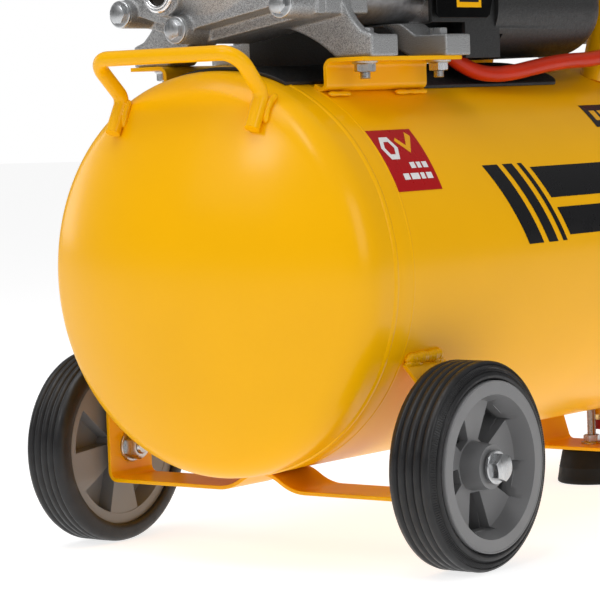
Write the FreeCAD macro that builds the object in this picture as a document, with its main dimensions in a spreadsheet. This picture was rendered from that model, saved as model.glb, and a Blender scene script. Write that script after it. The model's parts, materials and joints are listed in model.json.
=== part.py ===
"""Portable air compressor: a direct-drive oil-lubricated pump on a horizontal tank.

Millimetres, +Z up, +Y towards the foot and the gauges, +X to the right. The origin is on the
floor, under the middle of the whole machine. Sizes along Y are counted from the girth seam at
the wheel end of the tank, and every piece is then moved by rear_seam. Z is counted from the floor.
"""
import FreeCAD, Part
import math
import os
import re
import Sketcher
from FreeCAD import Placement, Rotation, Vector

DIMENSIONS = {
    # tank and its welded parts
    "rear_seam": -295, "tank_radius": 150, "tank_height": 216, "shell_length": 590,
    "shell_wall": 2.5, "head_wall": 3, "head_skirt": 17.3, "head_depth": 77, "knuckle": 30,
    "sheet": 3, "handle_bar": 5.6, "socket_radius": 12,
    # wheels
    "wheel_place": 46, "wheel_radius": 76, "rim_radius": 62, "wheel_inner": 155, "wheel_width": 40,
    "boss_radius": 17, "axle_radius": 6, "running_gap": 0.07, "bracket_half": 153,
    "bracket_start": 22, "bracket_depth": 49, "bracket_floor": 50,
    # front foot
    "foot_place": 487, "foot_top": 31, "foot_bottom": 25, "foot_height": 30, "foot_strip": 56,
    "drain_place": 505,
    # pump rails and feet
    "rail_start": 20, "rail_length": 125, "rail_web": 78, "rail_edge": 111, "deck": 372,
    "pad_height": 16, "pad_outer": 114, "pad_inner": 80, "bolt_side": 95,
    "rear_bolt": 44, "front_bolt": 137, "stud_radius": 4, "stud_hole": 4.4,
    # crankcase and cylinder
    "shaft_height": 468, "case_half": 88, "cover_face": -28, "case_face": 8, "case_back": 60,
    "crank_room": 66, "case_top": 545, "deck_height": 14, "cylinder_place": 18, "bore": 32.5, "stroke": 46,
    "rod_length": 95, "cylinder_height": 62, "plate_height": 5, "head_height": 40,
    "fin_half": 48, "head_half": 51, "stud_square": 38,
    # motor
    "stator_half": 70, "stator_start": 76, "stator_length": 81, "stator_bore": 39.5,
    "shaft_radius": 10, "bracket_end": 190, "fan_start": 196, "fan_depth": 26, "fan_radius": 80,
    # fan shroud
    "shroud_start": 140, "shroud_waist": 225, "shroud_end": 396, "shroud_half": 92,
    "shroud_floor": 371.5, "shroud_roof": 564, "panel_half": 88, "shroud_wall": 3,
    # controls
    "control_place": 520, "port_height": 398, "switch_floor": 412, "regulator_place": 572,
    "switch_half": 32, "valve_side": -102, "valve_place": 240,
    "gauge_radius": 25, "cable_radius": 6.2,
}

os.makedirs("parts", exist_ok=True)
doc = FreeCAD.newDocument("air_compressor")
sheet = doc.addObject("Spreadsheet::Sheet", "dims")
for row, (alias, value) in enumerate(DIMENSIONS.items(), start=1):
    sheet.set(f"A{row}", alias)
    sheet.set(f"B{row}", str(value))
    sheet.setAlias(f"B{row}", alias)
doc.recompute()

NODES = []
TURNS = {
    "Z": Rotation(), "-Z": Rotation(Vector(1, 0, 0), 180),
    "X": Rotation(Vector(0, 1, 0), 90), "-X": Rotation(Vector(0, 1, 0), -90),
    "Y": Rotation(Vector(1, 0, 0), -90), "-Y": Rotation(Vector(1, 0, 0), 90),
}


# ---------------------------------------------------------------- helpers
def bound(text):
    """The expression with every alias pointed at the sheet."""
    def point(word):
        return "dims." + word.group() if word.group() in DIMENSIONS else word.group()
    return re.sub(r"[a-z][a-z_0-9]*", point, str(text))


def size(text):
    """The value of an expression now."""
    return float(sheet.evalExpression(bound(text)))


def bind(thing, **sizes):
    for name, text in sizes.items():
        thing.setExpression(name, bound(text))
    return thing


def place(thing, at=(0, 0, 0), along="Z"):
    """Stand a piece at a point, with its own Z turned along an axis."""
    turn = TURNS[along] if isinstance(along, str) else along
    thing.Placement = Placement(Vector(), turn)
    for axis, text in zip("xyz", at):
        text = f"rear_seam + ({text})" if axis == "y" else text
        thing.setExpression(f"Placement.Base.{axis}", bound(text))
    return thing


def rod(radius, length, at=(0, 0, 0), along="Z"):
    cylinder = doc.addObject("Part::Cylinder", "rod")
    bind(cylinder, Radius=radius, Height=length)
    return place(cylinder, at, along)


def cone(start, end, length, at=(0, 0, 0), along="Z"):
    shape = doc.addObject("Part::Cone", "cone")
    bind(shape, Radius1=start, Radius2=end, Height=length)
    return place(shape, at, along)


def block(low, high):
    """A box between two corners, each given as expressions."""
    box = doc.addObject("Part::Box", "block")
    bind(box, Length=f"({high[0]}) - ({low[0]})", Width=f"({high[1]}) - ({low[1]})",
         Height=f"({high[2]}) - ({low[2]})")
    return place(box, low)


def prism(across_flats, length, at=(0, 0, 0), along="Z"):
    """A hexagonal bar, as on a bolt head or a fitting."""
    hexagon = doc.addObject("Part::Prism", "prism")
    hexagon.Polygon = 6
    bind(hexagon, Circumradius=f"({across_flats}) / 1.732", Height=length)
    return place(hexagon, at, along)


def ring(radius, wire, at=(0, 0, 0), along="Z"):
    torus = doc.addObject("Part::Torus", "ring")
    bind(torus, Radius1=radius, Radius2=wire)
    return place(torus, at, along)


def joined(*things):
    fusion = doc.addObject("Part::MultiFuse", "joined")
    fusion.Shapes = list(things)
    fusion.Refine = True
    return fusion


def cut(base, *tools):
    difference = doc.addObject("Part::Cut", "cut")
    difference.Base = base
    difference.Tool = tools[0] if len(tools) == 1 else joined(*tools)
    difference.Refine = True
    return difference


def shared(first, second):
    overlap = doc.addObject("Part::Common", "shared")
    overlap.Base = first
    overlap.Tool = second
    return overlap


def group(*things):
    """Separate solids kept in one node."""
    compound = doc.addObject("Part::Compound", "group")
    compound.Links = list(things)
    return compound


def rounded(base, radius, pick):
    """The piece with the picked edges rounded."""
    doc.recompute()
    fillet = doc.addObject("Part::Fillet", "rounded")
    fillet.Base = base
    value = size(radius)
    edges = enumerate(base.Shape.Edges, start=1)
    fillet.Edges = [(number, value, value) for number, edge in edges if pick(edge)]
    return fillet


def runs_along(axis):
    """Picks the straight edges that run along an axis."""
    def pick(edge):
        if edge.Curve.TypeId != "Part::GeomLine":
            return False
        return abs(getattr(edge.tangentAt(edge.FirstParameter), axis)) > 0.999
    return pick


def outline(body, role, points):
    """A closed sketch on a plane of the body's own origin.

    A point is (across, up), or (across, up, centre, turn) where the edge that arrives there is an
    arc: centre is the arc's centre across, and turn is 1 anticlockwise or -1 clockwise.
    """
    sketch = body.newObject("Sketcher::SketchObject", "outline")
    plane = [item for item in body.Origin.OriginFeatures if item.Role == role][0]
    sketch.AttachmentSupport = [(plane, "")]
    sketch.MapMode = "FlatFace"
    places = [Vector(size(point[0]), size(point[1]), 0) for point in points]
    count = len(points)
    for index in range(count):
        start = places[index]
        end = places[(index + 1) % count]
        target = points[(index + 1) % count]
        if len(target) == 2:
            sketch.addGeometry(Part.LineSegment(start, end), False)
            continue
        half = (end - start) * 0.5
        middle = start + half
        across = size(target[2])
        centre = Vector(across, middle.y - (across - middle.x) * half.x / half.y, 0)
        first, last = (start, end) if target[3] > 0 else (end, start)
        angles = [math.atan2(tip.y - centre.y, tip.x - centre.x) for tip in (first, last)]
        sweep = (angles[1] - angles[0]) % math.tau
        circle = Part.Circle(centre, Vector(0, 0, 1), (start - centre).Length)
        sketch.addGeometry(Part.ArcOfCircle(circle, angles[0], angles[0] + sweep), False)

    def tip(index, last):
        """The end of an edge at its first or last point; a clockwise arc is stored reversed."""
        target = points[(index + 1) % count]
        clockwise = len(target) == 4 and target[3] < 0
        return (index, 2 if last != clockwise else 1)

    def hold(kind, where, number, text):
        added = sketch.addConstraint(Sketcher.Constraint(kind, -1, 1, *where, size(text)))
        sketch.renameConstraint(added, f"{kind}_{number}")
        sketch.setExpression(f"Constraints.{kind}_{number}", bound(text))

    for index in range(count):
        here = tip(index, False)
        there = tip((index - 1) % count, True)
        sketch.addConstraint(Sketcher.Constraint("Coincident", *there, *here))
        hold("DistanceX", here, index, points[index][0])
        hold("DistanceY", here, index, points[index][1])
        target = points[(index + 1) % count]
        if len(target) == 4:
            hold("DistanceX", (index, 3), f"{index}_centre", target[2])
    return sketch


def turned(points, at=(0, 0, 0), along="Z"):
    """A body of revolution; points are (radius, place along the axis)."""
    body = doc.addObject("PartDesign::Body", "turned")
    sketch = outline(body, "XZ_Plane", points)
    revolution = body.newObject("PartDesign::Revolution", "revolution")
    revolution.Profile = sketch
    revolution.ReferenceAxis = (sketch, ["V_Axis"])
    revolution.Angle = 360
    return place(body, at, along)


def slab(points, start, end):
    """A plate whose outline is drawn in X and Z, between two places along Y."""
    body = doc.addObject("PartDesign::Body", "slab")
    sketch = outline(body, "XZ_Plane", points)
    pad = body.newObject("PartDesign::Pad", "pad")
    pad.Profile = sketch
    pad.Reversed = True
    bind(pad, Length=f"({end}) - ({start})")
    return place(body, (0, start, 0))


def mirror_points(points):
    """An outline drawn on the right, turned over to the left, arcs included."""
    flipped = []
    for index in reversed(range(len(points))):
        across, up = points[index][:2]
        arc = points[(index + 1) % len(points)][2:]
        arc = (f"-({arc[0]})", arc[1]) if arc else ()
        flipped.append((f"-({across})", up, *arc))
    return flipped


def bent_path(points, radii):
    """Straight runs joined by tangent arcs, one radius for each inner point."""
    edges = []
    start = points[0]
    for before, corner, after, radius in zip(points, points[1:], points[2:], radii):
        into = (corner - before).normalize()
        out = (after - corner).normalize()
        turn = into.getAngle(out)
        reach = radius * math.tan(turn / 2)
        first = corner - into * reach
        last = corner + out * reach
        inward = (out - into).normalize()
        centre = corner + inward * (radius / math.cos(turn / 2))
        middle = centre - inward * radius
        if (first - start).Length > 1e-6:
            edges.append(Part.LineSegment(start, first).toShape())
        edges.append(Part.Arc(first, middle, last).toShape())
        start = last
    edges.append(Part.LineSegment(start, points[-1]).toShape())
    return Part.Wire(edges)


def tube(points, radii, radius):
    """A round bar or hose swept along a bent path, as a feature of its own."""
    places = [Vector(*[size(text) for text in point]) for point in points]
    path = bent_path(places, radii)
    direction = (places[1] - places[0]).normalize()
    section = Part.Wire(Part.makeCircle(size(radius), places[0], direction))
    feature = doc.addObject("Part::Feature", "tube")
    feature.Shape = path.makePipeShell([section], True, False)
    expected = math.pi * size(radius) ** 2 * path.Length
    if abs(feature.Shape.Volume - expected) > 0.01 * expected:
        raise SystemExit(f"a tube's volume is {feature.Shape.Volume}, not {expected}")
    return place(feature), path.Length


def moved_edge(edge, distance):
    """An edge moved sideways in X and Z, which stays straight or round."""
    first, last = edge.ParameterRange
    flip = -1 if edge.Orientation == "Reversed" else 1
    spots = []
    for parameter in (first, (first + last) / 2, last):
        along = edge.tangentAt(parameter) * flip
        sideways = Vector(-along.z, 0, along.x).normalize()
        spots.append(edge.valueAt(parameter) + sideways * distance)
    if edge.Curve.TypeId == "Part::GeomLine":
        return Part.LineSegment(spots[0], spots[2]).toShape()
    return Part.Arc(*spots).toShape()


def strip(points, radii, thickness, start, end):
    """Sheet metal bent in X and Z and as wide as the stretch of Y that it covers."""
    places = [Vector(size(across), size(start), size(up)) for across, up in points]
    path = bent_path(places, radii)
    half = size(thickness) / 2
    upper, lower = [[moved_edge(edge, side * half) for edge in path.Edges] for side in (1, -1)]
    ends = [Part.LineSegment(upper[tip].Vertexes[tip].Point, lower[tip].Vertexes[tip].Point)
            for tip in (0, -1)]
    loop = Part.__sortEdges__(upper + lower + [line.toShape() for line in ends])
    feature = doc.addObject("Part::Feature", "strip")
    feature.Shape = Part.Face(Part.Wire(loop)).extrude(Vector(0, size(end) - size(start), 0))
    return place(feature)


def bolt(across_flats, head, radius, length, at, along):
    """A hexagon bolt that hangs from its head; `at` is under the head."""
    back = {"Z": "-Z", "-Z": "Z", "X": "-X", "-X": "X", "Y": "-Y", "-Y": "Y"}[along]
    return joined(prism(across_flats, head, at, back), rod(radius, length, at, along))


def nut(across_flats, height, radius, at, along="Z"):
    return cut(prism(across_flats, height, at, along), rod(radius, height, at, along))


def node(name, thing):
    """Give a finished piece its name; it becomes a file of its own."""
    thing.Label = name
    NODES.append(thing)
    return thing


def both_sides(make):
    """The same piece made for the right (1) and the left (-1)."""
    return [make(side) for side in (1, -1)]


# ---------------------------------------------------------------- tank
def tank_body():
    """The outer envelope of the shell, which trims what is welded to it."""
    return rod("tank_radius", "shell_length + 60", (0, -30, "tank_height"), "Y")


def head_meeting(radius):
    """Where a head's knuckle, at that radius, runs into its crown."""
    rise = size("head_depth - head_skirt")
    across = size("tank_radius - knuckle")
    crown = (across ** 2 + rise ** 2 - size("knuckle") ** 2) / (2 * (rise - size("knuckle")))
    lean = across / (crown - size("knuckle"))
    return across + size(radius) * lean, size("head_skirt") + size(radius) * math.sqrt(1 - lean ** 2)


def head_curve():
    """A head's outside, from its open edge over the skirt and knuckle to the crown's middle."""
    return [("tank_radius", 0), ("tank_radius", "head_skirt"),
            (*head_meeting("knuckle"), "tank_radius - knuckle", 1), (0, "head_depth", 0, 1)]


def make_tank():
    holes = [rod(5, 90, (x, y, "tank_height + 80"))
             for x, y in ((0, "control_place"), ("valve_side", "valve_place"))]
    holes.append(rod(5, 30, (0, "drain_place", "tank_height - tank_radius - 5")))
    shell = cut(rod("tank_radius", "shell_length", (0, 0, "tank_height"), "Y"),
                rod("tank_radius - shell_wall", "shell_length", (0, 0, "tank_height"), "Y"),
                *holes)
    node("tank_shell", shell)

    meet = head_meeting("knuckle - head_wall")
    corner = "tank_radius - knuckle"
    profile = [*head_curve(), (0, "head_depth - head_wall"), (*meet, 0, -1),
               ("tank_radius - head_wall", "head_skirt", corner, -1),
               ("tank_radius - head_wall", 0)]
    rear = turned(profile, (0, 0, "tank_height"), "-Y")
    front = turned(profile, (0, "shell_length", "tank_height"), "Y")
    node("tank_heads", group(rear, front))


def make_sockets():
    """Threaded sockets welded to the tank for the switch, the check valve and the drain."""
    def socket(x, y, low, high):
        outer = rod("socket_radius", f"({high}) - ({low})", (x, y, low))
        return cut(outer, tank_body(), rod(6, f"({high}) - ({low})", (x, y, low)))
    top = "tank_height + tank_radius"
    sockets = [socket(0, "control_place", f"{top} - 3", f"{top} + 10"),
               socket("valve_side", "valve_place", f"{top} - 46", f"{top} - 16"),
               socket(0, "drain_place", "tank_height - tank_radius - 8",
                      "tank_height - tank_radius + 1")]
    node("tank_sockets", group(*sockets))


def make_rear_handle():
    """A round bar bent into a grab handle over the wheel end of the tank."""
    half = [(66, -54, 323), (66, -40.8, 348), (68, -70, 377.5)]
    points = [(-x, y, z) for x, y, z in half] + half[::-1]
    handle, _ = tube(points, (9, 14, 14, 9), "handle_bar")
    head = turned([*head_curve(), (0, 0)], (0, 0, "tank_height"), "-Y")
    node("rear_handle", cut(handle, head))


def make_wheel_bracket():
    """One strip that carries both axles and runs under the tank."""
    side = "bracket_half - sheet / 2"
    low = "bracket_floor + sheet / 2"
    tank_low = "tank_height - tank_radius - sheet / 2"
    right = [(136.2, 150), (side, 133), (side, low), (30, low), (9, tank_low)]
    left = [(f"-({x})", z) for x, z in right]
    strap = strip(left + right[::-1], (10, 7, 40, 30, 30, 40, 7, 10), "sheet",
                  "bracket_start", "bracket_start + bracket_depth")
    hole = rod("axle_radius + 0.2", "2 * bracket_half + 20",
               ("-bracket_half - 10", "wheel_place", "wheel_radius"), "X")
    node("wheel_bracket", cut(strap, tank_body(), hole))


def make_foot_bracket():
    level = "foot_height + sheet / 2 + 0.3"
    half = [(55.5, 79), (41, level)]
    points = [(-x, z) for x, z in half] + half[::-1]
    strap = strip(points, (7, 7), "sheet", "foot_place - foot_strip / 2",
                  "foot_place + foot_strip / 2")
    hole = rod("stud_hole", 20, (0, "foot_place", "foot_height - 8"))
    node("foot_bracket", cut(strap, tank_body(), hole))


def make_pump_rails():
    """Two Z-shaped rails, welded to the top of the tank, that the pump is bolted to."""
    def rail(side):
        web = f"{side} * (rail_web - sheet / 2)"
        top = "deck - sheet / 2"
        lip = [(f"{side} * 66", 352.3), (web, 347.2), (web, top), (f"{side} * rail_edge", top)]
        body = strip(lip, (4, 6), "sheet", "rail_start", "rail_start + rail_length")
        holes = [rod("stud_hole", 12, (f"{side} * bolt_side", y, "deck - 8"))
                 for y in ("rear_bolt", "front_bolt")]
        return cut(body, tank_body(), *holes)
    node("pump_rails", group(*both_sides(rail)))


def make_front_handle():
    """The tall handle at the foot end: two posts, a crossbar and a grip."""
    half = [(60, 411, 348), (66, 455, 470), (85, 640, 560)]
    points = [(-x, y, z) for x, y, z in half] + half[::-1]
    bar, _ = tube(points, (50, 30, 30, 50), 12.5)
    node("front_handle", cut(bar, tank_body()))
    grip = cut(rod(16.5, 106, (-53, 640, 560), "X"), rod(12.5, 106, (-53, 640, 560), "X"))
    node("handle_grip", grip)


# ---------------------------------------------------------------- wheels and foot
def make_wheel(side, name):
    inner = "wheel_inner"
    along = "X" if side > 0 else "-X"
    centre = (0, "wheel_place", "wheel_radius")
    tread = [("rim_radius", f"{inner} + 3.5"), (66, inner), (70, f"{inner} + 0.4")]
    tread += [(73.4, f"{inner} + 2.6"), ("wheel_radius - 0.4", f"{inner} + 5.6")]
    for start in (9.5, 16.1, 22.7, 29.3):
        tread += [("wheel_radius", f"{inner} + {start - 1.8}"), ("wheel_radius", f"{inner} + {start}"),
                  ("wheel_radius - 1.8", f"{inner} + {start}"),
                  ("wheel_radius - 1.8", f"{inner} + {start + 1.2}"),
                  ("wheel_radius", f"{inner} + {start + 1.2}")]
    tread += [("wheel_radius", f"{inner} + 32.3"), ("wheel_radius - 0.4", f"{inner} + 34.4")]
    tread += [(73.4, f"{inner} + 37.4"), (70, f"{inner} + 39.6"), (66, f"{inner} + 40"),
              ("rim_radius", f"{inner} + 36.5")]
    node(f"tyre_{name}", turned(tread, centre, along))

    bore = "axle_radius + running_gap"
    start = f"{inner} + 4"
    end = f"{inner} + wheel_width + 1.4"
    body = [(bore, inner), ("boss_radius", inner), ("boss_radius", f"{inner} + 16"),
            (50, f"{inner} + 18"), (54, start), ("rim_radius", start), ("rim_radius", end),
            (52, end), (47.5, f"{inner} + 26"), ("boss_radius + 1", f"{inner} + 23"),
            ("boss_radius - 1", f"{inner} + 39"), (bore, f"{inner} + 39")]
    dish = turned(body, centre, along)
    windows = []
    for step in range(5):
        angle = math.radians(72 * step + 54)
        windows.append(window(side, angle))
    node(f"wheel_hub_{name}", cut(dish, *windows))


def window(side, angle):
    """A gap between two of the wheel's five wedge-shaped spokes."""
    corners = [(19, -6), (47, -13.7), (47, 13.7), (19, 6)]
    turned_corners = []
    for radius, across in corners:
        turned_corners.append(Vector(
            side * size("wheel_inner - 5"),
            size("wheel_place") + radius * math.cos(angle) - across * math.sin(angle),
            size("wheel_radius") + radius * math.sin(angle) + across * math.cos(angle)))
    loop = Part.makePolygon(turned_corners + turned_corners[:1])
    feature = doc.addObject("Part::Feature", "window")
    feature.Shape = Part.Face(loop).extrude(Vector(side * 60, 0, 0))
    return place(feature)


def make_axles():
    height = "wheel_radius"
    at = "wheel_place"

    def axle(side):
        along = "-X" if side > 0 else "X"
        return bolt(18, 7.2, "axle_radius", 62, (f"{side} * 198.4", at, height), along)

    def plate(side, inner, outer):
        low = f"{side} * {inner}"
        along = "X" if side > 0 else "-X"
        length = f"{outer} - ({inner})"
        return cut(rod(12, length, (low, at, height), along),
                   rod("axle_radius", length, (low, at, height), along))

    def lock(side):
        along = "X" if side > 0 else "-X"
        return nut(18, 9.5, "axle_radius", (f"{side} * 138.3", at, height), along)

    node("axle_bolts", group(*both_sides(axle)))
    plates = [plate(side, inner, outer) for side in (1, -1)
              for inner, outer in (("196.5", "198.4"), ("153.05", "154.9"), ("147.9", "149.95"))]
    node("axle_nuts_washers", group(*plates, *both_sides(lock)))


def make_foot():
    at = (0, "foot_place", 0)
    profile = [("stud_hole", 12), (11, 12), (11, 0), ("foot_bottom", 0),
               ("foot_bottom + 0.6", 2), ("foot_top", "foot_height - 2"),
               ("foot_top - 1", "foot_height"), ("stud_hole", "foot_height")]
    node("front_foot", turned(profile, at))


def make_drain():
    low = "tank_height - tank_radius - 8"
    body = joined(prism(17, 5, (0, "drain_place", f"{low} - 5")),
                  rod(5.9, 12.9, (0, "drain_place", f"{low} - 5")),
                  rod(4, 6, (0, "drain_place", f"{low} - 11")))
    bore = rod(1.5, 40, (0, "drain_place", f"{low} - 20"))
    node("drain_valve", cut(body, bore))
    knob = cut(rod(9, 8, (0, "drain_place", f"{low} - 13.4")),
               rod(4.06, 6.2, (0, "drain_place", f"{low} - 11.2")),
               rod(1.5, 8, (0, "drain_place", f"{low} - 13.4")))
    grooves = [rod(1.3, 8, (9.2 * math.cos(step * math.pi / 6),
                            f"drain_place + {9.2 * math.sin(step * math.pi / 6)}",
                            f"{low} - 13.4")) for step in range(12)]
    node("drain_knob", cut(knob, *grooves))


# ---------------------------------------------------------------- pump
COVER_BOLTS = ((-76, 411), (-23, 397), (76, 411), (79, 462), (76, 512), (-76, 512), (-79, 462))


def case_outline(inset, top):
    """The outline of the crankcase, with a low point on the left and sides moved in by inset."""
    half = f"(case_half - {inset})"
    side = f"{top} - 22"
    return [(f"-{half}", 404 + inset), (-23, 386.5 + inset), (half, 404 + inset), (half, side),
            (f"{half} - 20", top), (f"20 - {half}", top), (f"-{half}", side)]


def barrel_room():
    """The space that the piston's skirt passes through below the cylinder."""
    return rod(36, 50, (0, "cylinder_place", "case_top - 40"))


def make_crankcase():
    walls = slab(case_outline(0, "case_top"), "case_face", "case_back")
    bell = rod("stator_half + 2", "stator_start - case_back + 4",
               (0, "case_back - 4", "shaft_height"), "Y")

    def leg(side):
        foot = [(20, 398), ("pad_inner", "deck", 10, -1), ("pad_outer", "deck"),
                ("pad_outer", "deck + pad_height")]
        gusset = foot + [(105, "deck + pad_height + 3"), (86, 432, 135, -1), (20, 432)]
        arm = foot + [("pad_inner", "deck + pad_height"), (56, 404), (20, 412)]
        if side < 0:
            gusset = mirror_points(gusset)
            arm = mirror_points(arm)
        return joined(slab(gusset, 28, 36.4), slab(arm, 28, "case_back"))
    filler = rod(11, 16, (61, 30, "case_top - 4"))
    table = block((-50, -29, "case_top - deck_height"), (50, 68, "case_top"))
    body = joined(walls, table, bell, filler, *both_sides(leg))
    room = rod("crank_room", 42, (0, "case_face - 2", "shaft_height"), "Y")
    hollow = rod("stator_half - 7", 14, (0, 66, "shaft_height"), "Y")
    seat = rod(23.5, 14.2, (0, 51.8, "shaft_height"), "Y")
    through = rod(14, 40, (0, 44, "shaft_height"), "Y")
    skirt = barrel_room()
    dip = rod(4, 70, (61, 30, "case_top - 62"))
    mouth = rod(8.2, 13, (61, 30, "case_top + 2"))
    threads = [rod("stud_radius", 12, (x, "case_face - 0.5", z), "Y")
               for x, z in COVER_BOLTS]
    studs = [rod("stud_radius", 16, (x, f"cylinder_place + {y}", "case_top - 14"))
             for x, y in stud_places()]
    feet = [rod("stud_hole", 30, (f"{side} * bolt_side", "rear_bolt", "deck - 4"))
            for side in (1, -1)]
    ties = [rod(3, 12, (x, 66.5, z), "Y") for x, z in tie_places()]
    node("crankcase", cut(body, room, hollow, seat, through, skirt, dip, mouth,
                          *threads, *studs, *feet, *ties))


def stud_places():
    reach = size("stud_square")
    return [(x, y) for x in (-reach, reach) for y in (-reach, reach)]


def tie_places():
    reach = 57
    height = size("shaft_height")
    return [(x, height + z) for x in (-reach, reach) for z in (-reach, reach)]


def make_cover():
    """The cover over the crank, with a rim, a raised body, bolt bosses and a sight glass."""
    table = "case_top - deck_height"
    rim = slab(case_outline(0, f"{table} - 0.5"), 0, "case_face")
    raised = slab(case_outline(9, f"{table} - 8"), "cover_face + 8", 0.5)
    bosses = [rod(10.5, "case_face - cover_face", (x, "cover_face", z), "Y")
              for x, z in COVER_BOLTS]
    dome = cone("crank_room - 18", "crank_room - 4", 8.5, (0, "cover_face", "shaft_height"), "Y")
    glass = rod(17, 12, (-34, "cover_face - 2", 424), "Y")
    body = joined(rim, raised, dome, glass, *bosses)
    room = rod("crank_room - 6", 26, (0, "cover_face + 14", "shaft_height"), "Y")
    dish = rod(40, 5, (0, "cover_face - 1", "shaft_height"), "Y")
    eye = rod(10, 30, (-34, "cover_face - 4", 424), "Y")
    holes = [rod("stud_hole", 40, (x, "cover_face - 2", z), "Y") for x, z in COVER_BOLTS]
    node("crankcase_cover", cut(body, room, dish, eye, barrel_room(), *holes))
    screws = [bolt(13, 5.3, "stud_radius", 45, (x, "cover_face", z), "Y")
              for x, z in COVER_BOLTS]
    node("cover_bolts", group(*screws))
    face = "cover_face - 7"
    bezel = cut(joined(rod(13.5, 5, (-34, face, 424), "Y"), rod(10, 11, (-34, face, 424), "Y")),
                rod(7.5, 12, (-34, face, 424), "Y"))
    lens = rod(7.5, 3, (-34, "cover_face - 5", 424), "Y")
    node("oil_sight_glass", group(bezel, lens))


def make_dipstick():
    top = "case_top + 12"
    knob = joined(rod(9.4, 9, (61, 30, top)), rod(8, 10, (61, 30, "case_top + 2.2")),
                  rod(2.2, 95, (61, 30, "case_top - 92")), rod(5.5, 4, (61, 30, f"{top} + 9")))
    node("oil_dipstick", knob)


def make_cylinder():
    centre = "cylinder_place"
    low = "case_top"
    barrel = rod("bore + 6", "cylinder_height", (0, centre, low))
    plates = [("fin_half - 3", 8, 0), ("fin_half", 6, 56)]
    plates += [("fin_half", 2.6, 12 + 7.3 * step) for step in range(6)]
    layers = [block((f"-({half})", f"{centre} - ({half})", f"{low} + {rise}"),
                    (half, f"{centre} + ({half})", f"{low} + {rise + height}"))
              for half, height, rise in plates]
    holes = [rod("stud_hole", "cylinder_height + 2", (x, f"{centre} + {y}", f"{low} - 1"))
             for x, y in stud_places()]
    node("cylinder", cut(joined(barrel, *layers), rod("bore", "cylinder_height + 2",
                                                      (0, centre, f"{low} - 1")), *holes))


def make_valve_plate():
    low = "case_top + cylinder_height"
    half = "fin_half"
    plate = block((f"-{half}", f"cylinder_place - {half}", low),
                  (half, f"cylinder_place + {half}", f"{low} + plate_height"))
    ports = [rod(4, 8, (x, f"cylinder_place + {y}", f"{low} - 1"))
             for x in (-18, 18) for y in (-12, 0, 12)]
    holes = [rod("stud_hole", 8, (x, f"cylinder_place + {y}", f"{low} - 1"))
             for x, y in stud_places()]
    node("valve_plate", cut(plate, *ports, *holes))


def make_head():
    low = "case_top + cylinder_height + plate_height"
    half = "head_half"
    centre = "cylinder_place"
    base = block((f"-{half}", f"{centre} - {half}", low),
                 (half, f"{centre} + {half}", f"{low} + 22"))
    fins = [block((f"{x} - 1.6", f"{centre} - {half}", f"{low} + 20"),
                  (f"{x} + 1.6", f"{centre} + {half}", f"{low} + head_height"))
            for x in (-45, -31.5, -18, -6, 6, 18, 31.5, 45)]
    bosses = [rod(9, "head_height - 8", (x, f"{centre} + {y}", low)) for x, y in stud_places()]
    ports = [rod(11, 6, (f"-{half}", "cylinder_place - 22", f"{low} + 12"), "-X"),
             rod(9, 5, (f"-{half}", 48, f"{low} + 12"), "-X")]
    rooms = [block((x, f"{centre} - 30", f"{low} - 1"), (f"{x} + 24", f"{centre} + 30",
                                                        f"{low} + 16")) for x in (-30, 6)]
    inlet = rod(7, 35, (f"-{half} - 7", "cylinder_place - 22", f"{low} + 12"), "X")
    outlet = rod(5, 32, (f"-{half} - 7", 48, f"{low} + 12"), "X")
    cross = rod(5, 50, (-30, 44, f"{low} + 8"), "X")
    holes = [rod("stud_hole", 60, (x, f"{centre} + {y}", f"{low} - 1")) for x, y in stud_places()]
    seats = [rod(8.2, 20, (x, f"{centre} + {y}", f"{low} + head_height - 8"))
             for x, y in stud_places()]
    node("cylinder_head", cut(joined(base, *fins, *bosses, *ports), *rooms, inlet, outlet, cross,
                              *holes, *seats))
    top = f"{low} + head_height - 8"
    length = "head_height - 8 + plate_height + cylinder_height + 12"
    bolts = [bolt(13, 5.3, "stud_radius", length, (x, f"{centre} + {y}", top), "-Z")
             for x, y in stud_places()]
    node("head_bolts", group(*bolts))


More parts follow.
